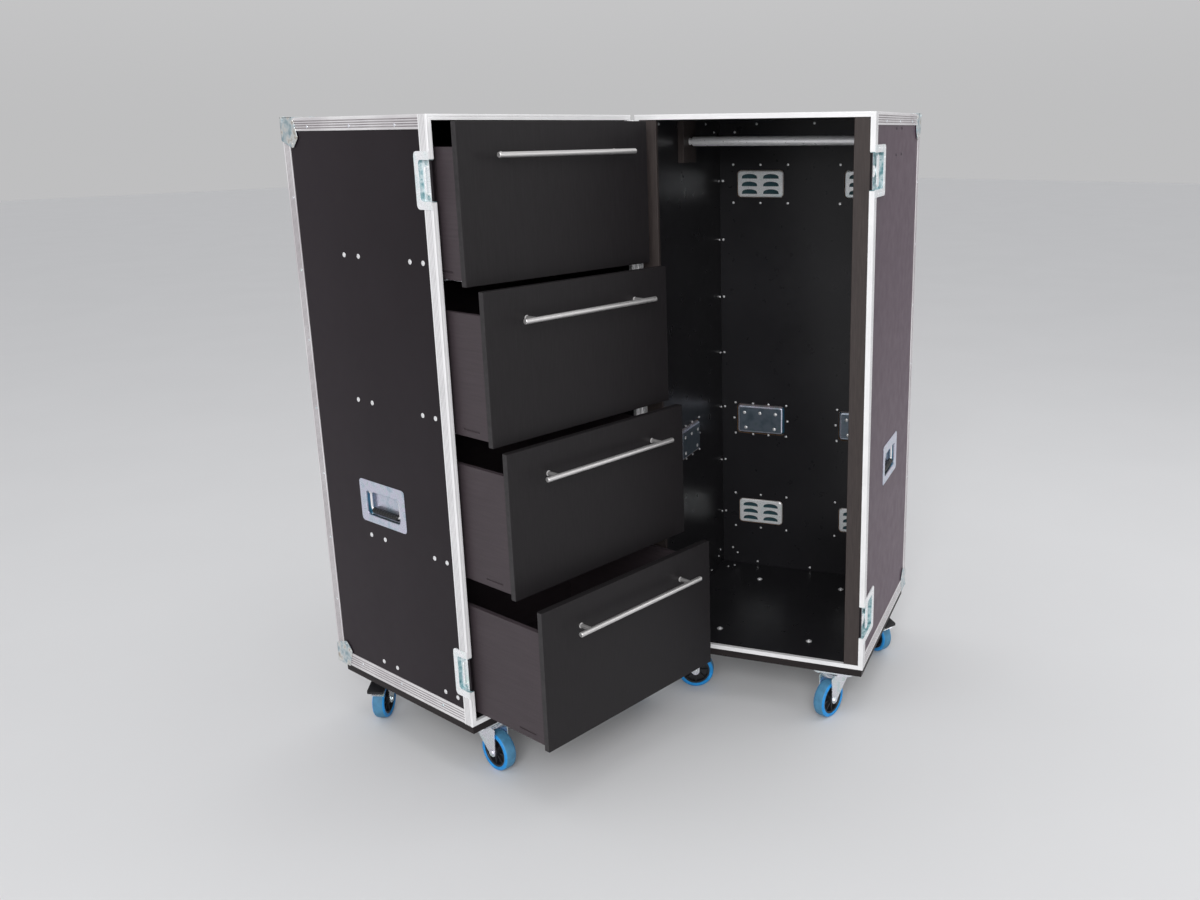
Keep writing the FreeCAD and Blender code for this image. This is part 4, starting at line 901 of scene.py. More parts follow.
def handle_dish(bm, at):
    """Plate with a rolled mouth, the pan behind it and the rivets round its edge."""
    middle = (0.0, MOUTH_RISE)
    plate(bm, [rounded_rect(*DISH, DISH_ROUND), rounded_rect(*MOUTH, MOUTH_ROUND, middle)],
          0.0, SHEET, at)
    lip = ((0.0, SHEET), (0.8, SHEET), (2.0, SHEET - 1.0), (2.0, -3.0), (1.0, -3.0), (1.0, 0.0),
           (0.0, 0.2))
    loft(bm, [inset(MOUTH, MOUTH_ROUND, *ring, middle) for ring in lip], closed=True, at=at)
    handle_pan(bm, at)
    for x, y in DISH_RIVETS:
        dome(bm, at, PLATE_RIVET, (x, y, SHEET), 12)
    # A pressed step across the pan's back, painted shade like the back.
    first = len(bm.faces)
    plate(bm, [rounded_rect(*STEP, 8.0, (0, STEP_RISE))], -PAN_DEPTH - STEP_HEIGHT,
          -PAN_DEPTH + 0.2, at)
    since(bm, first, 3)


BAIL_PIVOT = (22.0, -7.5)
BAIL_ARM = 46.0
BAIL_WIDE = 124.0
BAIL_ROD = 3.0
GRIP_HALF = 50.0
GRIP_RIBS = 9


def bail(name, at):
    """The hanging steel bail and its ribbed black grip."""
    bm = bmesh.new()
    rise, sink = BAIL_PIVOT
    low = rise - BAIL_ARM
    side = BAIL_WIDE / 2 - BAIL_ROD
    arms = bend([(-side, rise, sink), (-side, low, sink), (side, low, sink), (side, rise, sink)],
                9.0)
    rod(bm, arms, BAIL_ROD, 12, at)
    span = PAN[0] / 2 - 3.0
    for sign in (-1, 1):
        start, end = sorted((sign * (side - 4.0), sign * span))
        lathe(bm, [(0, start), (2.5, start), (2.5, end), (0, end)], 14,
              at @ Matrix.Translation((0, rise, sink)) @ ALONG_X)
        lathe(bm, mirrored([(0, -3.0), (4.6, -3.0), (5.0, -2.4)]), 16,
              at @ Matrix.Translation((sign * side, rise, sink)) @ ALONG_X)
    steel_faces = len(bm.faces)
    grip = GRIP_HALF
    end = [(0, -grip), (6.4, -grip), (7.3, 1.0 - grip), (7.3, 3.0 - grip)]
    ribs = []
    for number in range(GRIP_RIBS):
        middle = 8.0 - grip + number * (2 * grip - 16.0) / (GRIP_RIBS - 1)
        ribs += [(6.9, middle - 2.6), (7.4, middle - 1.4), (7.4, middle + 1.4),
                 (6.9, middle + 2.6)]
    profile = end + ribs + mirrored(end)[len(end):]
    lathe(bm, profile, 20, at @ Matrix.Translation((0, low, sink)) @ ALONG_X)
    since(bm, steel_faces, 1)
    piece(name + "_and_grip", bm, HERE, name, "black_grip", [STUD, GRIP], [name])


# Studs of the pan's step and of the bail's bearing: along, up and their rise.
HANDLE_STUDS = ((-50, 21, STEP_HEIGHT), (0, 21, STEP_HEIGHT), (50, 21, STEP_HEIGHT),
                (-46, -27, 0), (46, -27, 0))


def handles(half, nodes):
    bm, studs = bmesh.new(), bmesh.new()
    for wall, along, z in HANDLES[half]:
        at = wall_matrix(half, wall, along, z)
        handle_dish(bm, at)
        for x, y, rise in HANDLE_STUDS:
            back = at @ Matrix.Translation((x, y, -PAN_DEPTH - rise))
            dome(studs, back @ BACKWARDS, (5.4, 2.0))
    # The pans' walls and backs in painted shade; the plates in their own zinc.
    piece(half + "_handle_plates", bm, HERE, half, "zinc_steel",
          [DISH_ZINC, SIDE_SHADE_ZINC, SHADED_ZINC, BACK_SHADE_ZINC], nodes, bevel=0.3)
    piece(half + "_handle_studs", studs, HERE, half, "zinc_steel", [STUD])
    for name in [n for n in NODES if n.startswith(half) and n.endswith("_bail")]:
        low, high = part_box(name)
        wall, along = wall_of(half, in_half(half, (low + high) / 2))
        nearest = min((h for h in HANDLES[half] if h[0] == wall),
                      key=lambda h: abs(h[1] - along))
        bail(name, wall_matrix(half, *nearest))


VENT = (184.0, 126.0)
VENT_DEPTH = 12.5
SLOT = (48.0, 13.5)
SLOT_PITCH = 22.0
SLOT_COLUMN = 33.0


def half_moon(wide, high, middle, steps=10):
    """A slot's outline: flat below and arched above, anticlockwise."""
    foot = middle[1] - high / 2
    arch = [(middle[0] + wide / 2 * math.cos(math.pi * i / steps),
             foot + 1.5 + (high - 1.5) * math.sin(math.pi * i / steps) ** 0.7)
            for i in range(steps + 1)]
    return [(middle[0] - wide / 2, foot), (middle[0] + wide / 2, foot)] + arch


def louvre(bm, middle, at):
    """A scoop pressed outwards over a slot, open along its foot; its inner faces are painted
    shade.
    """
    wide, high = SLOT[0] + 3.0, SLOT[1] + 3.0
    base = -VENT_DEPTH + PAN_SHEET
    foot = middle[1] - high / 2
    loops = []
    for t in range(13):
        angle = math.pi * t / 12
        swell = max(math.sin(angle), 0.02) ** 0.6
        x = middle[0] - wide / 2 * math.cos(angle)
        rise = high * swell
        loops.append([(x, foot, base + 6.0 * swell), (x, foot + rise * 0.6, base + 5.4 * swell),
                      (x, foot + rise, base), (x, foot + rise - 0.8, base - 0.6),
                      (x, foot + rise * 0.55, base + 4.2 * swell),
                      (x, foot + 0.1, base + 4.8 * swell)])
    loft(bm, loops, at=at, finishes=(0, 0, 0, 1, 1, 0))


def vents():
    """Flanged plates with a sunk floor, its slots and their scoops."""
    bm = bmesh.new()
    skirt = ((4.0, -VENT_DEPTH), (1.5, -VENT_DEPTH + 1.5), (0.0, -1.0), (0.0, 0.2), (1.2, 0.2),
             (1.2, -1.0), (2.6, -VENT_DEPTH + 2.2), (4.4, -VENT_DEPTH + PAN_SHEET))
    slots = [(column, row * SLOT_PITCH) for column in (-SLOT_COLUMN, SLOT_COLUMN)
             for row in (-1, 0, 1)]
    for across, z in VENTS:
        at = wall_matrix("wardrobe", "back", across, z)
        mouth = rounded_rect(VENT_PAN[0] - 2.4, VENT_PAN[1] - 2.4, PAN_ROUND)
        plate(bm, [rounded_rect(*VENT, DISH_ROUND), mouth], 0.0, SHEET, at)
        for middle in slots:
            louvre(bm, middle, at)
        floor = rounded_rect(VENT_PAN[0] - 8.0, VENT_PAN[1] - 8.0, PAN_ROUND - 4.0)
        plate(bm, [floor] + [half_moon(*SLOT, middle) for middle in slots], -VENT_DEPTH,
              -VENT_DEPTH + PAN_SHEET, at)
        loft(bm, [inset(VENT_PAN, PAN_ROUND, *ring) for ring in skirt], closed=True, at=at)
        for x, y in VENT_RIVETS:
            dome(bm, at, PLATE_RIVET, (x, y, SHEET), 12)
    # The plates painted lighter, as painted light; the scoops' insides painted shade.
    piece("vent_louvres", bm, HERE, "wardrobe", "zinc_steel", [LIT_ZINC, SHADED_ZINC],
          ["back_vents"], bevel=0.3)


# ---- Latches -----------------------------------------------------------------
LATCH_PLATE_HIGH = 120.0
PLATE_LONG = {"drawer_case": 52.0, "wardrobe": 119.0}
PLATE_RIVETS = {"drawer_case": (43.0,), "wardrobe": (42.0, 72.0, 110.0)}
LATCH_BACK = 0.3 - WALL
LATCH_FLOOR = LATCH_BACK + PAN_SHEET
WING_DEPTH = 56.0


def latch_matrix(half, z):
    """(depth, height, outwards) on the free side, in metres."""
    local = Matrix(((0, 0, 1, WIDTH), (1, 0, 0, 0), (0, 1, 0, z), (0, 0, 0, 1)))
    return half_matrix(half) @ local


def round_end(length, high, radius):
    """The far end of a rounded rectangle that starts at 0, from the bottom to the top."""
    loop = rounded_rect(length, high, radius, (length / 2, 0.0))
    side = len(loop) // 4
    return loop[-side:] + loop[:side]


def latch_plate(bm, half, z):
    """The plate and pan of a latch or keeper, open towards the closing plane.

    It is drawn as (depth, height, outwards) about the latch's middle.
    """
    long, pan = PLATE_LONG[half], PAN_LONG[half]
    high, room = LATCH_PLATE_HIGH / 2, LATCH_PAN_HIGH / 2
    mouth = room - PAN_SHEET
    start, leg = CLOSING_FACE, CLOSING_LEG
    end = round_end(long, 2 * high, DISH_ROUND)
    inner = [(x - PAN_SHEET, y) for x, y in round_end(pan, 2 * mouth, 8.0)]
    at = latch_matrix(half, z)
    plate(bm, [[(start, -high)] + end + [(start, high), (start, mouth)] + inner[::-1]
               + [(start, -mouth)]], 0.0, SHEET, at)
    # Behind the plate, from the closing frame's leg on, it lies on the wall.
    plate(bm, [[(leg, -high + 2)] + [(x - 1, y) for x, y in end]
               + [(leg, high - 2), (leg, room), (pan, room), (pan, -room), (leg, -room)]],
          -TRIM, 0.2, at)
    floor_faces = len(bm.faces)
    slab(bm, (CLOSING_FACE + CLOSING_LIP, -room, LATCH_BACK), (pan, room, LATCH_FLOOR), at)
    # The keeper's floor keeps its plate's paler zinc, painted light; the rest of each pan is
    # painted shade.
    dark = len(bm.faces) if half == "drawer_case" else floor_faces
    slab(bm, (start, mouth, LATCH_BACK), (pan, room, 0.2), at)
    slab(bm, (start, -room, LATCH_BACK), (pan, -mouth, 0.2), at)
    slab(bm, (pan - PAN_SHEET, -room, LATCH_BACK), (pan, room, 0.2), at)
    since(bm, dark, 1)
    rivets = [(x, y) for x in PLATE_RIVETS[half] for y in (8.0 - high, high - 8.0)]
    if half == "wardrobe":
        rivets += [(long - 9.0, y) for y in (-30.0, 0.0, 30.0)]
    for x, y in rivets:
        dome(bm, at, PLATE_RIVET, (x, y, SHEET), 12)


def keepers():
    """Two plates with a round bar across the pan, for the latch's hook."""
    bm = bmesh.new()
    for z in LATCHES:
        latch_plate(bm, "drawer_case", z)
        at = latch_matrix("drawer_case", z)
        foot, top = LATCH_BACK + 1.0, -3.0
        bar = bend([(22.0, -28.0, foot), (22.0, -28.0, top), (22.0, 28.0, top),
                    (22.0, 28.0, foot)], 5.0)
        rod(bm, bar, 2.4, 12, at)
        # The studs in the pan's floor take the teal zinc painted as shade.
        dark = len(bm.faces)
        for y in (-36.0, 36.0):
            dome(bm, at, (5.4, 1.6), (24.0, y, LATCH_FLOOR))
        since(bm, dark, 1)
    # Plates painted light, pans painted shade.
    piece("keeper_plates", bm, HERE, "drawer_case", "zinc_steel", [LIT_ZINC, TEAL_SHADE_ZINC],
          ["latch_keepers"], bevel=0.3)


def latches():
    bm = bmesh.new()
    hook = [(14.0, -13.0), (36.0, -13.0), (42.0, -8.0), (42.0, 8.0), (36.0, 13.0), (14.0, 13.0),
            (10.0, 9.0), (10.0, -9.0)]
    slot = [(16.0, -6.0), (16.0, 6.0), (22.0, 6.0), (22.0, -6.0)]
    for z in LATCHES:
        latch_plate(bm, "wardrobe", z)
        at = latch_matrix("wardrobe", z)
        # The hook's slide, drawn back into the pan.
        plate(bm, [hook, slot], LATCH_FLOOR + 0.2, LATCH_FLOOR + 2.4, at)
        for y in (-34.0, 34.0):
            dome(bm, at, (3.4, 1.6), (80.0, y, LATCH_FLOOR))
    # Plates painted light, pans painted shade.
    piece("latch_plates", bm, HERE, "wardrobe", "zinc_steel", [LIT_ZINC, TEAL_SHADE_ZINC],
          ["latch_dishes"], bevel=0.3)
    for name, z in zip(("upper", "lower"), LATCHES):
        latch_wing("latch_wing_" + name, z)


def latch_wing(node, z):
    """The turning disc, and the waisted wing that lies on it."""
    bm = bmesh.new()
    at = latch_matrix("wardrobe", z) @ Matrix.Translation((WING_DEPTH, 0, 0))
    floor = LATCH_FLOOR + 0.3
    top = floor + 4.0
    lathe(bm, [(0, floor), (13.6, floor), (14.0, floor + 0.6), (14.0, top - 0.6), (13.0, top),
               (0, top)], 28, at)
    # The disc under the wing: painted shade; the wing is painted light.
    since(bm, 0, 1)
    wing = [(x * (0.62 + 0.38 * min(1.0, abs(y) / 30.0)), y)
            for x, y in rounded_rect(24.0, 76.0, 11.0, steps=7)]
    plate(bm, [wing], top, top + 2.2, at)
    dome(bm, at, (4.6, 1.6), (0, 0, top + 1.0), 16)
    piece(node + "_plate", bm, HERE, node, "zinc_steel", [LIT_ZINC, TEAL_SHADE_ZINC], [node],
          bevel=0.4)


# ---- Hinge -------------------------------------------------------------------
def hinge_screws(half):
    """Screws down the hinge's leaf; the leaves and knuckles are the frame's own."""
    bm = bmesh.new()
    for z in hinge_screw_levels():
        lathe(bm, HINGE_SCREW, 12, onto((-HINGE_LEAF, HINGE_SCREW_DEPTH, z), (-1, 0, 0)))
    half_piece(half + "_hinge_screws", bm, half, "zinc_steel", [ZINC])


# ---- Castors -----------------------------------------------------------------
CASTOR_TOP = 128.0
WHEEL = 50.0
TRAIL = 36.0
TYRE_WIDE = 32.0
FORK_INNER = 18.0
FORK_SHEET = 3.0
CROWN_TOP = 117.7
AXLE = Matrix.Translation((TRAIL, 0, WHEEL)) @ ALONG_Y
SPOKES = 8


def wheel(name, at):
    """Blue elastic tyre, worn on its tread, on a black spoked rim, about its axle."""
    bm = bmesh.new()
    half = TYRE_WIDE / 2
    tyre = [(39.0, 2.0 - half), (40.5, 0.6 - half), (44.0, -half), (46.6, 0.9 - half),
            (48.8, 3.4 - half), (49.5, 6.0 - half), (WHEEL, -6.0)]
    lathe(bm, mirrored(tyre), 48, at, ring=True)
    bm.faces.ensure_lookup_table()
    for face in bm.faces:
        if (at.inverted() @ face.calc_center_median()).xy.length > WHEEL - 1.0:
            face.material_index = 1
    tyre_faces = len(bm.faces)
    rim = [(34.0, -12.0), (35.0, -13.5), (39.2, -13.5)]
    web = [(13.0, -4.0), (34.5, -4.0)]
    hub = [(5.2, -17.0), (11.0, -17.0), (12.4, -15.5), (13.0, -6.0)]
    for profile, steps in ((rim, 40), (web, 40), (hub, 28)):
        lathe(bm, mirrored(profile), steps, at, ring=True)
    for number in range(SPOKES):
        turn = Matrix.Rotation(2 * math.pi * number / SPOKES, 4, "Z")
        slab(bm, (12.0, -1.4, -11.0), (35.0, 1.4, 11.0), at @ turn)
    since(bm, tyre_faces, 2)
    piece(name + "_tyre_and_rim", bm, HERE, name, "blue_tyre", [TYRE, TREAD, RIM], [name],
          sharp=30)


def fork(name, at, braked):
    """Pressed fork: crown and ball race, two legs, the axle and any brake pedal."""
    bm = bmesh.new()
    outer = FORK_INNER + FORK_SHEET
    top = CROWN_TOP
    lathe(bm, [(6.0, top), (24.0, top), (30.0, top - 2.0), (31.0, top - 4.5), (31.0, top - 8.0),
               (28.0, top - 9.0), (27.0, top - 12.0), (6.0, top - 12.0)], 40, at, ring=True)
    lathe(bm, [(0, top - 13.5), (9.5, top - 13.5), (9.5, top - 11.0), (6.0, top - 11.0),
               (6.0, CASTOR_TOP - 1.0), (0, CASTOR_TOP - 1.0)], 24, at)
    foot = [(TRAIL + 11.0 * math.cos(a), WHEEL + 11.0 * math.sin(a))
            for a in (math.radians(d) for d in range(-150, 1, 25))]
    outline = ([(-36.0, top - 1.0), (-40.0, top - 4.0), (-38.0, top - 10.0)] + foot
               + [(49.0, top - 8.0), (49.0, top - 4.0), (46.0, top - 1.0)])
    upright = Matrix(((1, 0, 0, 0), (0, 0, 1, 0), (0, 1, 0, 0), (0, 0, 0, 1)))
    for start in (-outer, FORK_INNER):
        plate(bm, [outline], start, start + FORK_SHEET, at @ upright)
    slab(bm, (-20.0, -outer + 1.0, top - 5.0), (33.0, outer - 1.0, top - 2.0), at)
    lathe(bm, mirrored([(0, -outer - 1.0), (5.0, -outer - 1.0)]), 20, at @ AXLE)
    for sign, flip in ((-1, BACKWARDS), (1, HERE)):
        side = at @ AXLE @ Matrix.Translation((0, 0, sign * outer)) @ flip
        lathe(bm, [(0, 0), (7.9, 0), (7.9, 0.8), (0, 0.9)], 24, side)
        lathe(bm, [(0, 0.6), (6.9, 0.6), (7.2, 1.2), (7.2, 3.4), (6.6, 4.0), (0, 4.0)], 6, side)
    if braked:
        brake_band(bm, at)
        steel_faces = len(bm.faces)
        brake_pedal(bm, at)
        since(bm, steel_faces, 1)
    piece(name + "_pressing", bm, HERE, name, "zinc_steel", [ZINC, PEDAL], [name], bevel=0.4)


PEDAL_ROOT = TRAIL + 15.0
PEDAL_TOE = TRAIL + 59.0
PEDAL_WIDE = 44.0
PEDAL_TOP = WHEEL + 63.0
PEDAL_FALL = 14.0
BAND_HALF = 17.8
BAND_STEPS = 10


def brake_pedal(bm, at):
    """The black pedal sloping out over the wheel, with a ribbed tread for the foot."""
    long = PEDAL_TOE - PEDAL_ROOT
    outline = rounded_rect(long, PEDAL_WIDE, 5.0, ((PEDAL_ROOT + PEDAL_TOE) / 2, 0))
    loft(bm, [[(x, y, PEDAL_TOP - (x - PEDAL_ROOT) * fall / long - under) for x, y in outline]
              for fall, under in ((PEDAL_FALL, 0.0), (8.5, 11.0))], at=at)
    slope = Matrix.Rotation(math.atan2(PEDAL_FALL, long), 4, "Y")
    pad = at @ Matrix.Translation((PEDAL_ROOT, 0, PEDAL_TOP)) @ slope
    for start in range(10, 45, 7):
        slab(bm, (start, -17.0, -2.0), (start + 3.0, 17.0, -0.1), pad)


def brake_band(bm, at):
    """The plated band over the tyre that carries the pedal."""
    inner = WHEEL + 3.0
    outer = inner + 4.0
    section = [(inner, -BAND_HALF), (outer, -BAND_HALF), (outer, BAND_HALF), (inner, BAND_HALF)]
    loops = []
    for step in range(BAND_STEPS + 1):
        angle = math.radians(88.0 - 54.0 * step / BAND_STEPS)
        loops.append([(TRAIL + r * math.cos(angle), y, WHEEL + r * math.sin(angle))
                      for r, y in section])
    loft(bm, loops, at=at)


def castors():
    for name in [n for n in NODES if n.endswith("_fork")]:
        stem = name[:-len("_fork")]
        swivel = Vector(JOINTS[stem + "_swivel"]["pos_m"])
        spin = Vector(JOINTS[stem + "_spin"]["pos_m"])
        trail = spin - swivel
        heading = math.atan2(trail.y, trail.x)
        swivel.z = 0.0
        at = Matrix.Translation(swivel) @ Matrix.Rotation(heading, 4, "Z") @ Matrix.Scale(MM, 4)
        fork(name, at, "_rear_" in name)
        wheel(stem + "_wheel", at @ AXLE)


CASTOR_PLATE = 4.0
PLATE_HOLE_INSET = 12.0


def castor_boards(half):
    """The plywood board with its castor plates, ball races and bolts."""
    node = half + "_castor_board"
    board, *plates = widest_first(node)
    bm = bmesh.new()
    slab(bm, *board)
    half_piece(half + "_castor_ply", bm, half, "board_ply", [CASTOR_PLY], [node], bevel=1.5)
    bm = bmesh.new()
    base = CASTOR_TOP - CASTOR_PLATE
    for low, high in plates:
        wide, long = high.x - low.x, high.y - low.y
        spots = [(sx * (wide / 2 - PLATE_HOLE_INSET), sy * (long / 2 - PLATE_HOLE_INSET))
                 for sx in (-1, 1) for sy in (-1, 1)]
        at = Matrix.Translation(((low.x + high.x) / 2, (low.y + high.y) / 2, 0))
        plate(bm, [rounded_rect(wide, long, 8.0)] + [circle(4.5, 14, spot) for spot in spots],
              base, CASTOR_TOP, at)
        lathe(bm, [(6.5, base), (6.5, base - 6.0), (26.0, base - 6.0), (32.0, base - 5.0),
                   (34.0, base - 2.0), (34.0, base)], 40, at, ring=True)
        for x, y in spots:
            bolt = at @ Matrix.Translation((x, y, base)) @ BACKWARDS
            lathe(bm, [(0, -1.0), (8.4, -1.0), (8.4, 0.9), (0, 1.0)], 20, bolt)
            lathe(bm, [(0, 0.7), (6.6, 0.7), (6.9, 1.1), (6.9, 4.6), (6.2, 5.2), (0, 5.2)], 6,
                  bolt)
    half_piece(half + "_castor_plates", bm, half, "zinc_steel", [ZINC], bevel=0.4)


# ---- Drawers -----------------------------------------------------------------
DRAWER_WALL = 12.0
DRAWER_BASE = 8.0
FRONT_NOSE = 0.9
FRONT_RAW = 2.6
RUNNER_SHEET = 1.5
RAIL_LIP = 12.0
RAIL_SCREWS = (0.05, 0.145, 0.547, 0.664)


def grooved(bm, outline, groove, floor, back, at):
    """A board from its face at 0 to its back, with a groove sunk in the face."""
    def row(points, level):
        return [bm.verts.new(at @ Vector((x, y, level))) for x, y in points]

    def band(one, two):
        for i in range(len(one)):
            j = (i + 1) % len(one)
            bm.faces.new([one[i], one[j], two[j], two[i]])

    edge, mouth = row(outline, 0.0), row(groove, 0.0)
    triangles = tessellate_polygon([[Vector((x, y, 0)) for x, y in loop]
                                    for loop in (outline, groove)])
    flat = edge + mouth
    for triangle in triangles:
        bm.faces.new([flat[i] for i in triangle])
    deep, rear = row(groove, floor), row(outline, back)
    bm.faces.new(deep)
    bm.faces.new(rear)
    band(edge, rear)
    band(mouth, deep)


def drawer(body):
    """Two grooved sides, two ends and the base, the runners below it and the front."""
    to_metres = half_matrix("drawer_case")
    boards, runners = bmesh.new(), bmesh.new()
    *below, (low, high) = sorted(boxes(body + "_box"), key=lambda box: (box[0] - box[1]).length)
    for ends in below:
        runner(runners, *ends)
    base = below[-1][1].z
    wall = DRAWER_WALL
    left, right = low.x + wall, high.x - wall
    slab(boards, (left, low.y + wall, base), (right, high.y - wall, base + DRAWER_BASE))
    for depth in (low.y, high.y - wall):
        slab(boards, (left, depth, base), (right, depth + wall, high.z))
    outline = [(low.y, low.z), (high.y, low.z), (high.y, high.z), (low.y, high.z)]
    groove = rounded_rect(57.5, 4.0, 1.9, (low.y + 55.25, low.z + 16.5), steps=3)
    for outer, inward in ((low.x, 1.0), (high.x, -1.0)):
        at = Matrix(((0, 0, inward, outer), (1, 0, 0, 0), (0, 1, 0, 0), (0, 0, 0, 1)))
        grooved(boards, outline, groove, 2.5, wall, at)
    piece(body + "_boards", boards, to_metres, body, "drawer_board", [BOARD], [body + "_box"],
          bevel=0.6)
    piece(body + "_runners", runners, to_metres, body, "zinc_steel", [ZINC])
    low, high = corners([in_half("drawer_case", point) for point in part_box(body + "_front")])
    front(body, low, high)
    bar_handle(body)


def front(body, low, high):
    """The front, with the raw board showing along its upright rear edges."""
    bm = bmesh.new()
    nose, raw = FRONT_NOSE, FRONT_RAW
    section = [(low.x, low.y + nose), (low.x + nose, low.y), (high.x - nose, low.y),
               (high.x, low.y + nose), (high.x, high.y - raw), (high.x - raw, high.y),
               (low.x + raw, high.y), (low.x, high.y - raw)]
    loft(bm, [[(min(max(x, low.x + shrink), high.x - shrink), max(y, low.y + shrink), level)
               for x, y in section]
              for level, shrink in ((low.z, nose), (low.z + nose, 0.0), (high.z - nose, 0.0),
                                    (high.z, nose))])
    for face in bm.faces:
        centre = face.calc_center_median()
        edge = min(centre.x - low.x, high.x - centre.x)
        behind = centre.y > high.y - raw and low.z + 2 < centre.z < high.z - 2
        if 0.3 < edge < raw - 0.3 and behind:
            face.material_index = 1
        elif edge < 0.3:
            face.material_index = 2
    piece(body + "_front_board", bm, half_matrix("drawer_case"), body, "front_board",
          [FRONT, RAW_EDGE, EDGE_BAND], [body + "_front"], sharp=25)


def channel(bm, section, low, high):
    """A section of (across, z) along the depth between two corners."""
    loft(bm, [[(across, depth, z) for across, z in section] for depth in (low.y, high.y)])


def runner(bm, low, high):
    """A channel with its legs down, under the drawer's base."""
    sheet = RUNNER_SHEET
    inner = [(high.x - sheet, low.z), (high.x - sheet, high.z - sheet),
             (low.x + sheet, high.z - sheet), (low.x + sheet, low.z)]
    channel(bm, [(low.x, low.z), (low.x, high.z - 1.0), (low.x + 1.0, high.z),
                 (high.x - 1.0, high.z), (high.x, high.z - 1.0), (high.x, low.z)] + inner,
            low, high)


def outer_rails():
    """A leg down the wall, a shelf under the drawer and a lip along the shelf's edge."""
    bm = bmesh.new()
    for low, high in boxes("slide_outer_rails"):
        wall, edge, sign = (high.x, low.x, -1.0) if low.x > WIDTH / 2 else (low.x, high.x, 1.0)
        sheet = sign * RUNNER_SHEET
        shelf, lip = low.z + RUNNER_SHEET, low.z + RAIL_LIP
        channel(bm, [(wall, low.z + 1.0), (wall, high.z), (wall + sheet, high.z),
                     (wall + sheet, shelf), (edge - sheet, shelf), (edge - sheet, lip),
                     (edge, lip), (edge, low.z + 1.0), (edge - sign, low.z),
                     (wall + sign, low.z)], low, high)
        for share in RAIL_SCREWS:
            place = (wall + sheet, low.y + (high.y - low.y) * share, high.z - 14.0)
            dome(bm, onto(place, (sign, 0, 0)), (4.2, 1.2))
    half_piece("slide_channels", bm, "drawer_case", "zinc_steel", [ZINC], ["slide_outer_rails"])


def round_bar(box):
    """A level bar's frame with Z along it, its radius and half its length."""
    low, high = box
    lying = Matrix.Translation((low + high) / 2) @ ALONG_X
    return lying, (high.z - low.z) / 2, (high.x - low.x) / 2


def bar_handle(body):
    """A satin bar with chamfered ends, on two posts with collars."""
    bar, *posts = widest_first(body + "_handle")
    lying, radius, half = round_bar(bar)
    bm = bmesh.new()
    lathe(bm, mirrored([(0, -half), (radius - 0.9, -half), (radius, 0.9 - half)]), 28, lying)
    middle = lying.translation
    for low, high in posts:
        reach = high.y - middle.y - 3.0
        post = onto(((low.x + high.x) / 2, high.y, middle.z), (0, -1, 0))
        lathe(bm, [(0, 0), (6.4, 0), (6.4, 1.2), (5.0, 2.0), (5.0, reach), (0, reach)], 20, post)
    piece(body + "_bar", bm, half_matrix("drawer_case"), body, "satin_steel", [SATIN],
          [body + "_handle"], sharp=30)


# ---- Inside the wardrobe half ------------------------------------------------
def boards_of(node, name, slot):
    """Plain boards where the frame has them, with rounded edges."""
    bm = bmesh.new()
    for box in boxes(node):
        slab(bm, *box)
    half_piece(name, bm, "wardrobe", slot, [STILE], [node], bevel=1.0)


def hanging_rail():
    """The rail's tube, and at each end the peg on its pad with a collar."""
    tube, *pegs = widest_first("hanging_rail")
    lying, radius, half = round_bar(tube)
    middle = lying.translation
    inner, edge = radius - 1.5, radius - 0.4
    bm = bmesh.new()
    lathe(bm, mirrored([(inner, -half), (edge, -half), (radius, 0.4 - half)]), 40, lying,
          ring=True)
    for low, high in pegs:
        pad, sign = (high.x, 1.0) if low.x > middle.x else (low.x, -1.0)
        neck = abs(pad - middle.x) - half
        lathe(bm, [(0, 0), (9.6, 0), (9.6, 2.0), (8.0, 2.6), (8.0, neck), (inner - 0.1, neck),
                   (inner - 0.1, neck + 6.0), (0, neck + 6.0)], 32,
              onto((pad, middle.y, middle.z), (-sign, 0, 0)))
    half_piece("garment_rail_tube", bm, "wardrobe", "chrome_tube", [RAIL],
               ["hanging_rail"], sharp=30)


# ---- Camera, floor and light -------------------------------------------------
CAMERA_AT = Vector((-2.02345, -1.95064, 1.50671))
CAMERA_YAW = 0.69083
CAMERA_PITCH = 0.26251
CAMERA_ROLL = -0.01058
CAMERA_LENS = 33.025
CAMERA_SHIFT = (-0.10237, -0.01886)


def camera():
    ahead = Vector((math.cos(CAMERA_PITCH) * math.cos(CAMERA_YAW),
                    math.cos(CAMERA_PITCH) * math.sin(CAMERA_YAW), -math.sin(CAMERA_PITCH)))
    right = ahead.cross(Vector((0, 0, 1))).normalized()
    above = right.cross(ahead)
    cos, sin = math.cos(CAMERA_ROLL), math.sin(CAMERA_ROLL)
    axes = (right * cos + above * sin, above * cos - right * sin, -ahead)
    data = bpy.data.cameras.new("camera")
    data.lens = CAMERA_LENS
    data.shift_x, data.shift_y = CAMERA_SHIFT
    data.clip_end = 200.0
    made = bpy.data.objects.new("camera", data)
    made.matrix_world = Matrix.Translation(CAMERA_AT) @ Matrix(axes).transposed().to_4x4()
    bpy.context.scene.collection.objects.link(made)
    bpy.context.scene.camera = made


WORLD_LIGHT = (0.62, 0.625, 0.64)
BACKDROP = ((0.0, 0.52), (0.30, 0.64))
FLOOR_HALF = 30.0
# Each lamp: its place, what it is aimed at, its size and its watts.
LAMPS = {"key": ((-6.5, -5.3, 4.8), (0.0, -0.1, 0.7), (4.6, 4.6), 440.0),
         "fill": ((2.8, -3.2, 2.0), (0.2, -0.2, 0.7), (2.0, 2.6), 18.0),
         "top": ((0.0, 0.0, 4.2), (0.0, 0.0, 0.0), (3.0, 3.0), 18.0)}


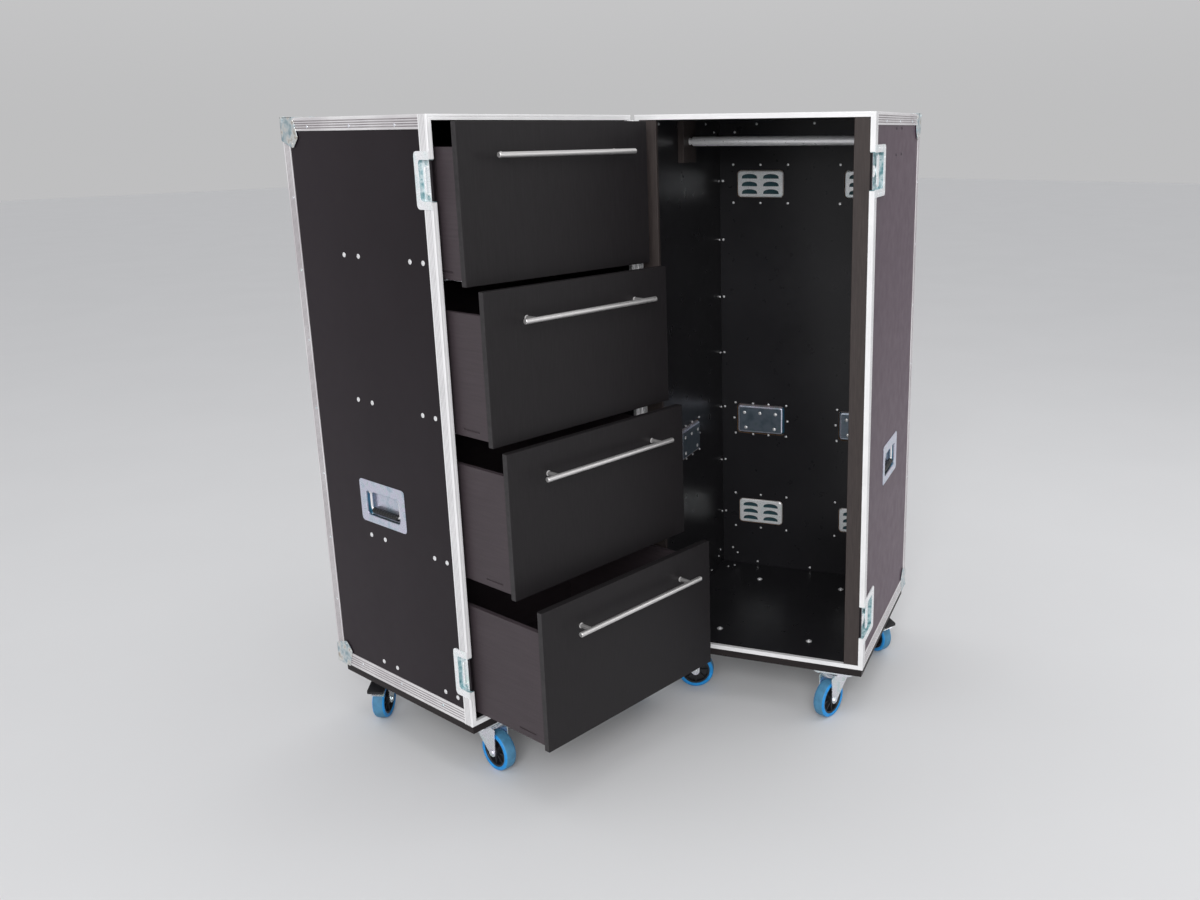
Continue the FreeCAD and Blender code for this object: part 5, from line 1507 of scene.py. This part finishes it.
def lamp(name, at, aim, size, power):
    data = bpy.data.lights.new(name, "AREA")
    data.shape = "RECTANGLE"
    data.size, data.size_y = size
    data.energy = power
    made = bpy.data.objects.new(name, data)
    made.location = at
    made.rotation_euler = (Vector(aim) - Vector(at)).to_track_quat("-Z", "Y").to_euler()
    bpy.context.scene.collection.objects.link(made)


def studio():
    bm = bmesh.new()
    slab(bm, (-FLOOR_HALF, -FLOOR_HALF, -0.02), (FLOOR_HALF, FLOOR_HALF, 0.0))
    mesh = bpy.data.meshes.new("floor")
    bm.to_mesh(mesh)
    bm.free()
    mesh.materials.append(surface("pale_floor", ((0.76, 0.76, 0.765), (0.775, 0.775, 0.78)),
                                  (1.5, 4.0), rough=0.62, specular=0.3))
    floor = bpy.data.objects.new("floor", mesh)
    bpy.context.scene.collection.objects.link(floor)
    world = bpy.data.worlds.new("studio")
    world.use_nodes = True
    nodes, links = world.node_tree.nodes, world.node_tree.links
    background = nodes["Background"]
    background.inputs["Color"].default_value = (*WORLD_LIGHT, 1.0)
    # Camera, glossy and transmission rays see the pale backdrop instead.
    shown = nodes.new("ShaderNodeBackground")
    place = nodes.new("ShaderNodeTexCoord")
    height = nodes.new("ShaderNodeSeparateXYZ")
    links.new(place.outputs["Generated"], height.inputs["Vector"])
    sweep = nodes.new("ShaderNodeValToRGB")
    sweep.color_ramp.interpolation = "EASE"
    for element, (position, grey) in zip(sweep.color_ramp.elements, BACKDROP):
        element.position = position
        element.color = (grey, grey, grey * 1.01, 1.0)
    links.new(height.outputs["Z"], sweep.inputs["Fac"])
    links.new(sweep.outputs["Color"], shown.inputs["Color"])
    rays = nodes.new("ShaderNodeLightPath")
    seen = rays.outputs["Is Camera Ray"]
    for kind in ("Is Glossy Ray", "Is Transmission Ray"):
        either = nodes.new("ShaderNodeMath")
        either.operation = "MAXIMUM"
        links.new(seen, either.inputs[0])
        links.new(rays.outputs[kind], either.inputs[1])
        seen = either.outputs["Value"]
    mix = nodes.new("ShaderNodeMixShader")
    links.new(seen, mix.inputs["Fac"])
    links.new(background.outputs["Background"], mix.inputs[1])
    links.new(shown.outputs["Background"], mix.inputs[2])
    links.new(mix.outputs["Shader"], nodes["World Output"].inputs["Surface"])
    bpy.context.scene.world = world
    for name, facts in LAMPS.items():
        lamp(name, *facts)


# ---- The whole object --------------------------------------------------------
bpy.context.scene.view_settings.view_transform = "Standard"
camera()
studio()
for half in SIDE_OF:
    walls(half)
    closing_frame(half)
    edge_angles(half)
    ball_corners(half)
    fasteners(half)
    hinge_screws(half)
    castor_boards(half)
    leaf = NODES[half + "_hinge_leaf"].data
    leaf.materials.clear()
    leaf.materials.append(ALUMINIUM)
rivet_tails()
handles("drawer_case", ["drawer_case_handle_dish"])
handles("wardrobe", ["wardrobe_handle_dishes"])
vents()
keepers()
latches()
castors()
for number in range(1, 5):
    drawer("drawer_%d" % number)
outer_rails()
boards_of("wardrobe_stiles", "stile_boards", "front_board")
boards_of("rail_pads", "rail_pad_boards", "black_laminate")
hanging_rail()
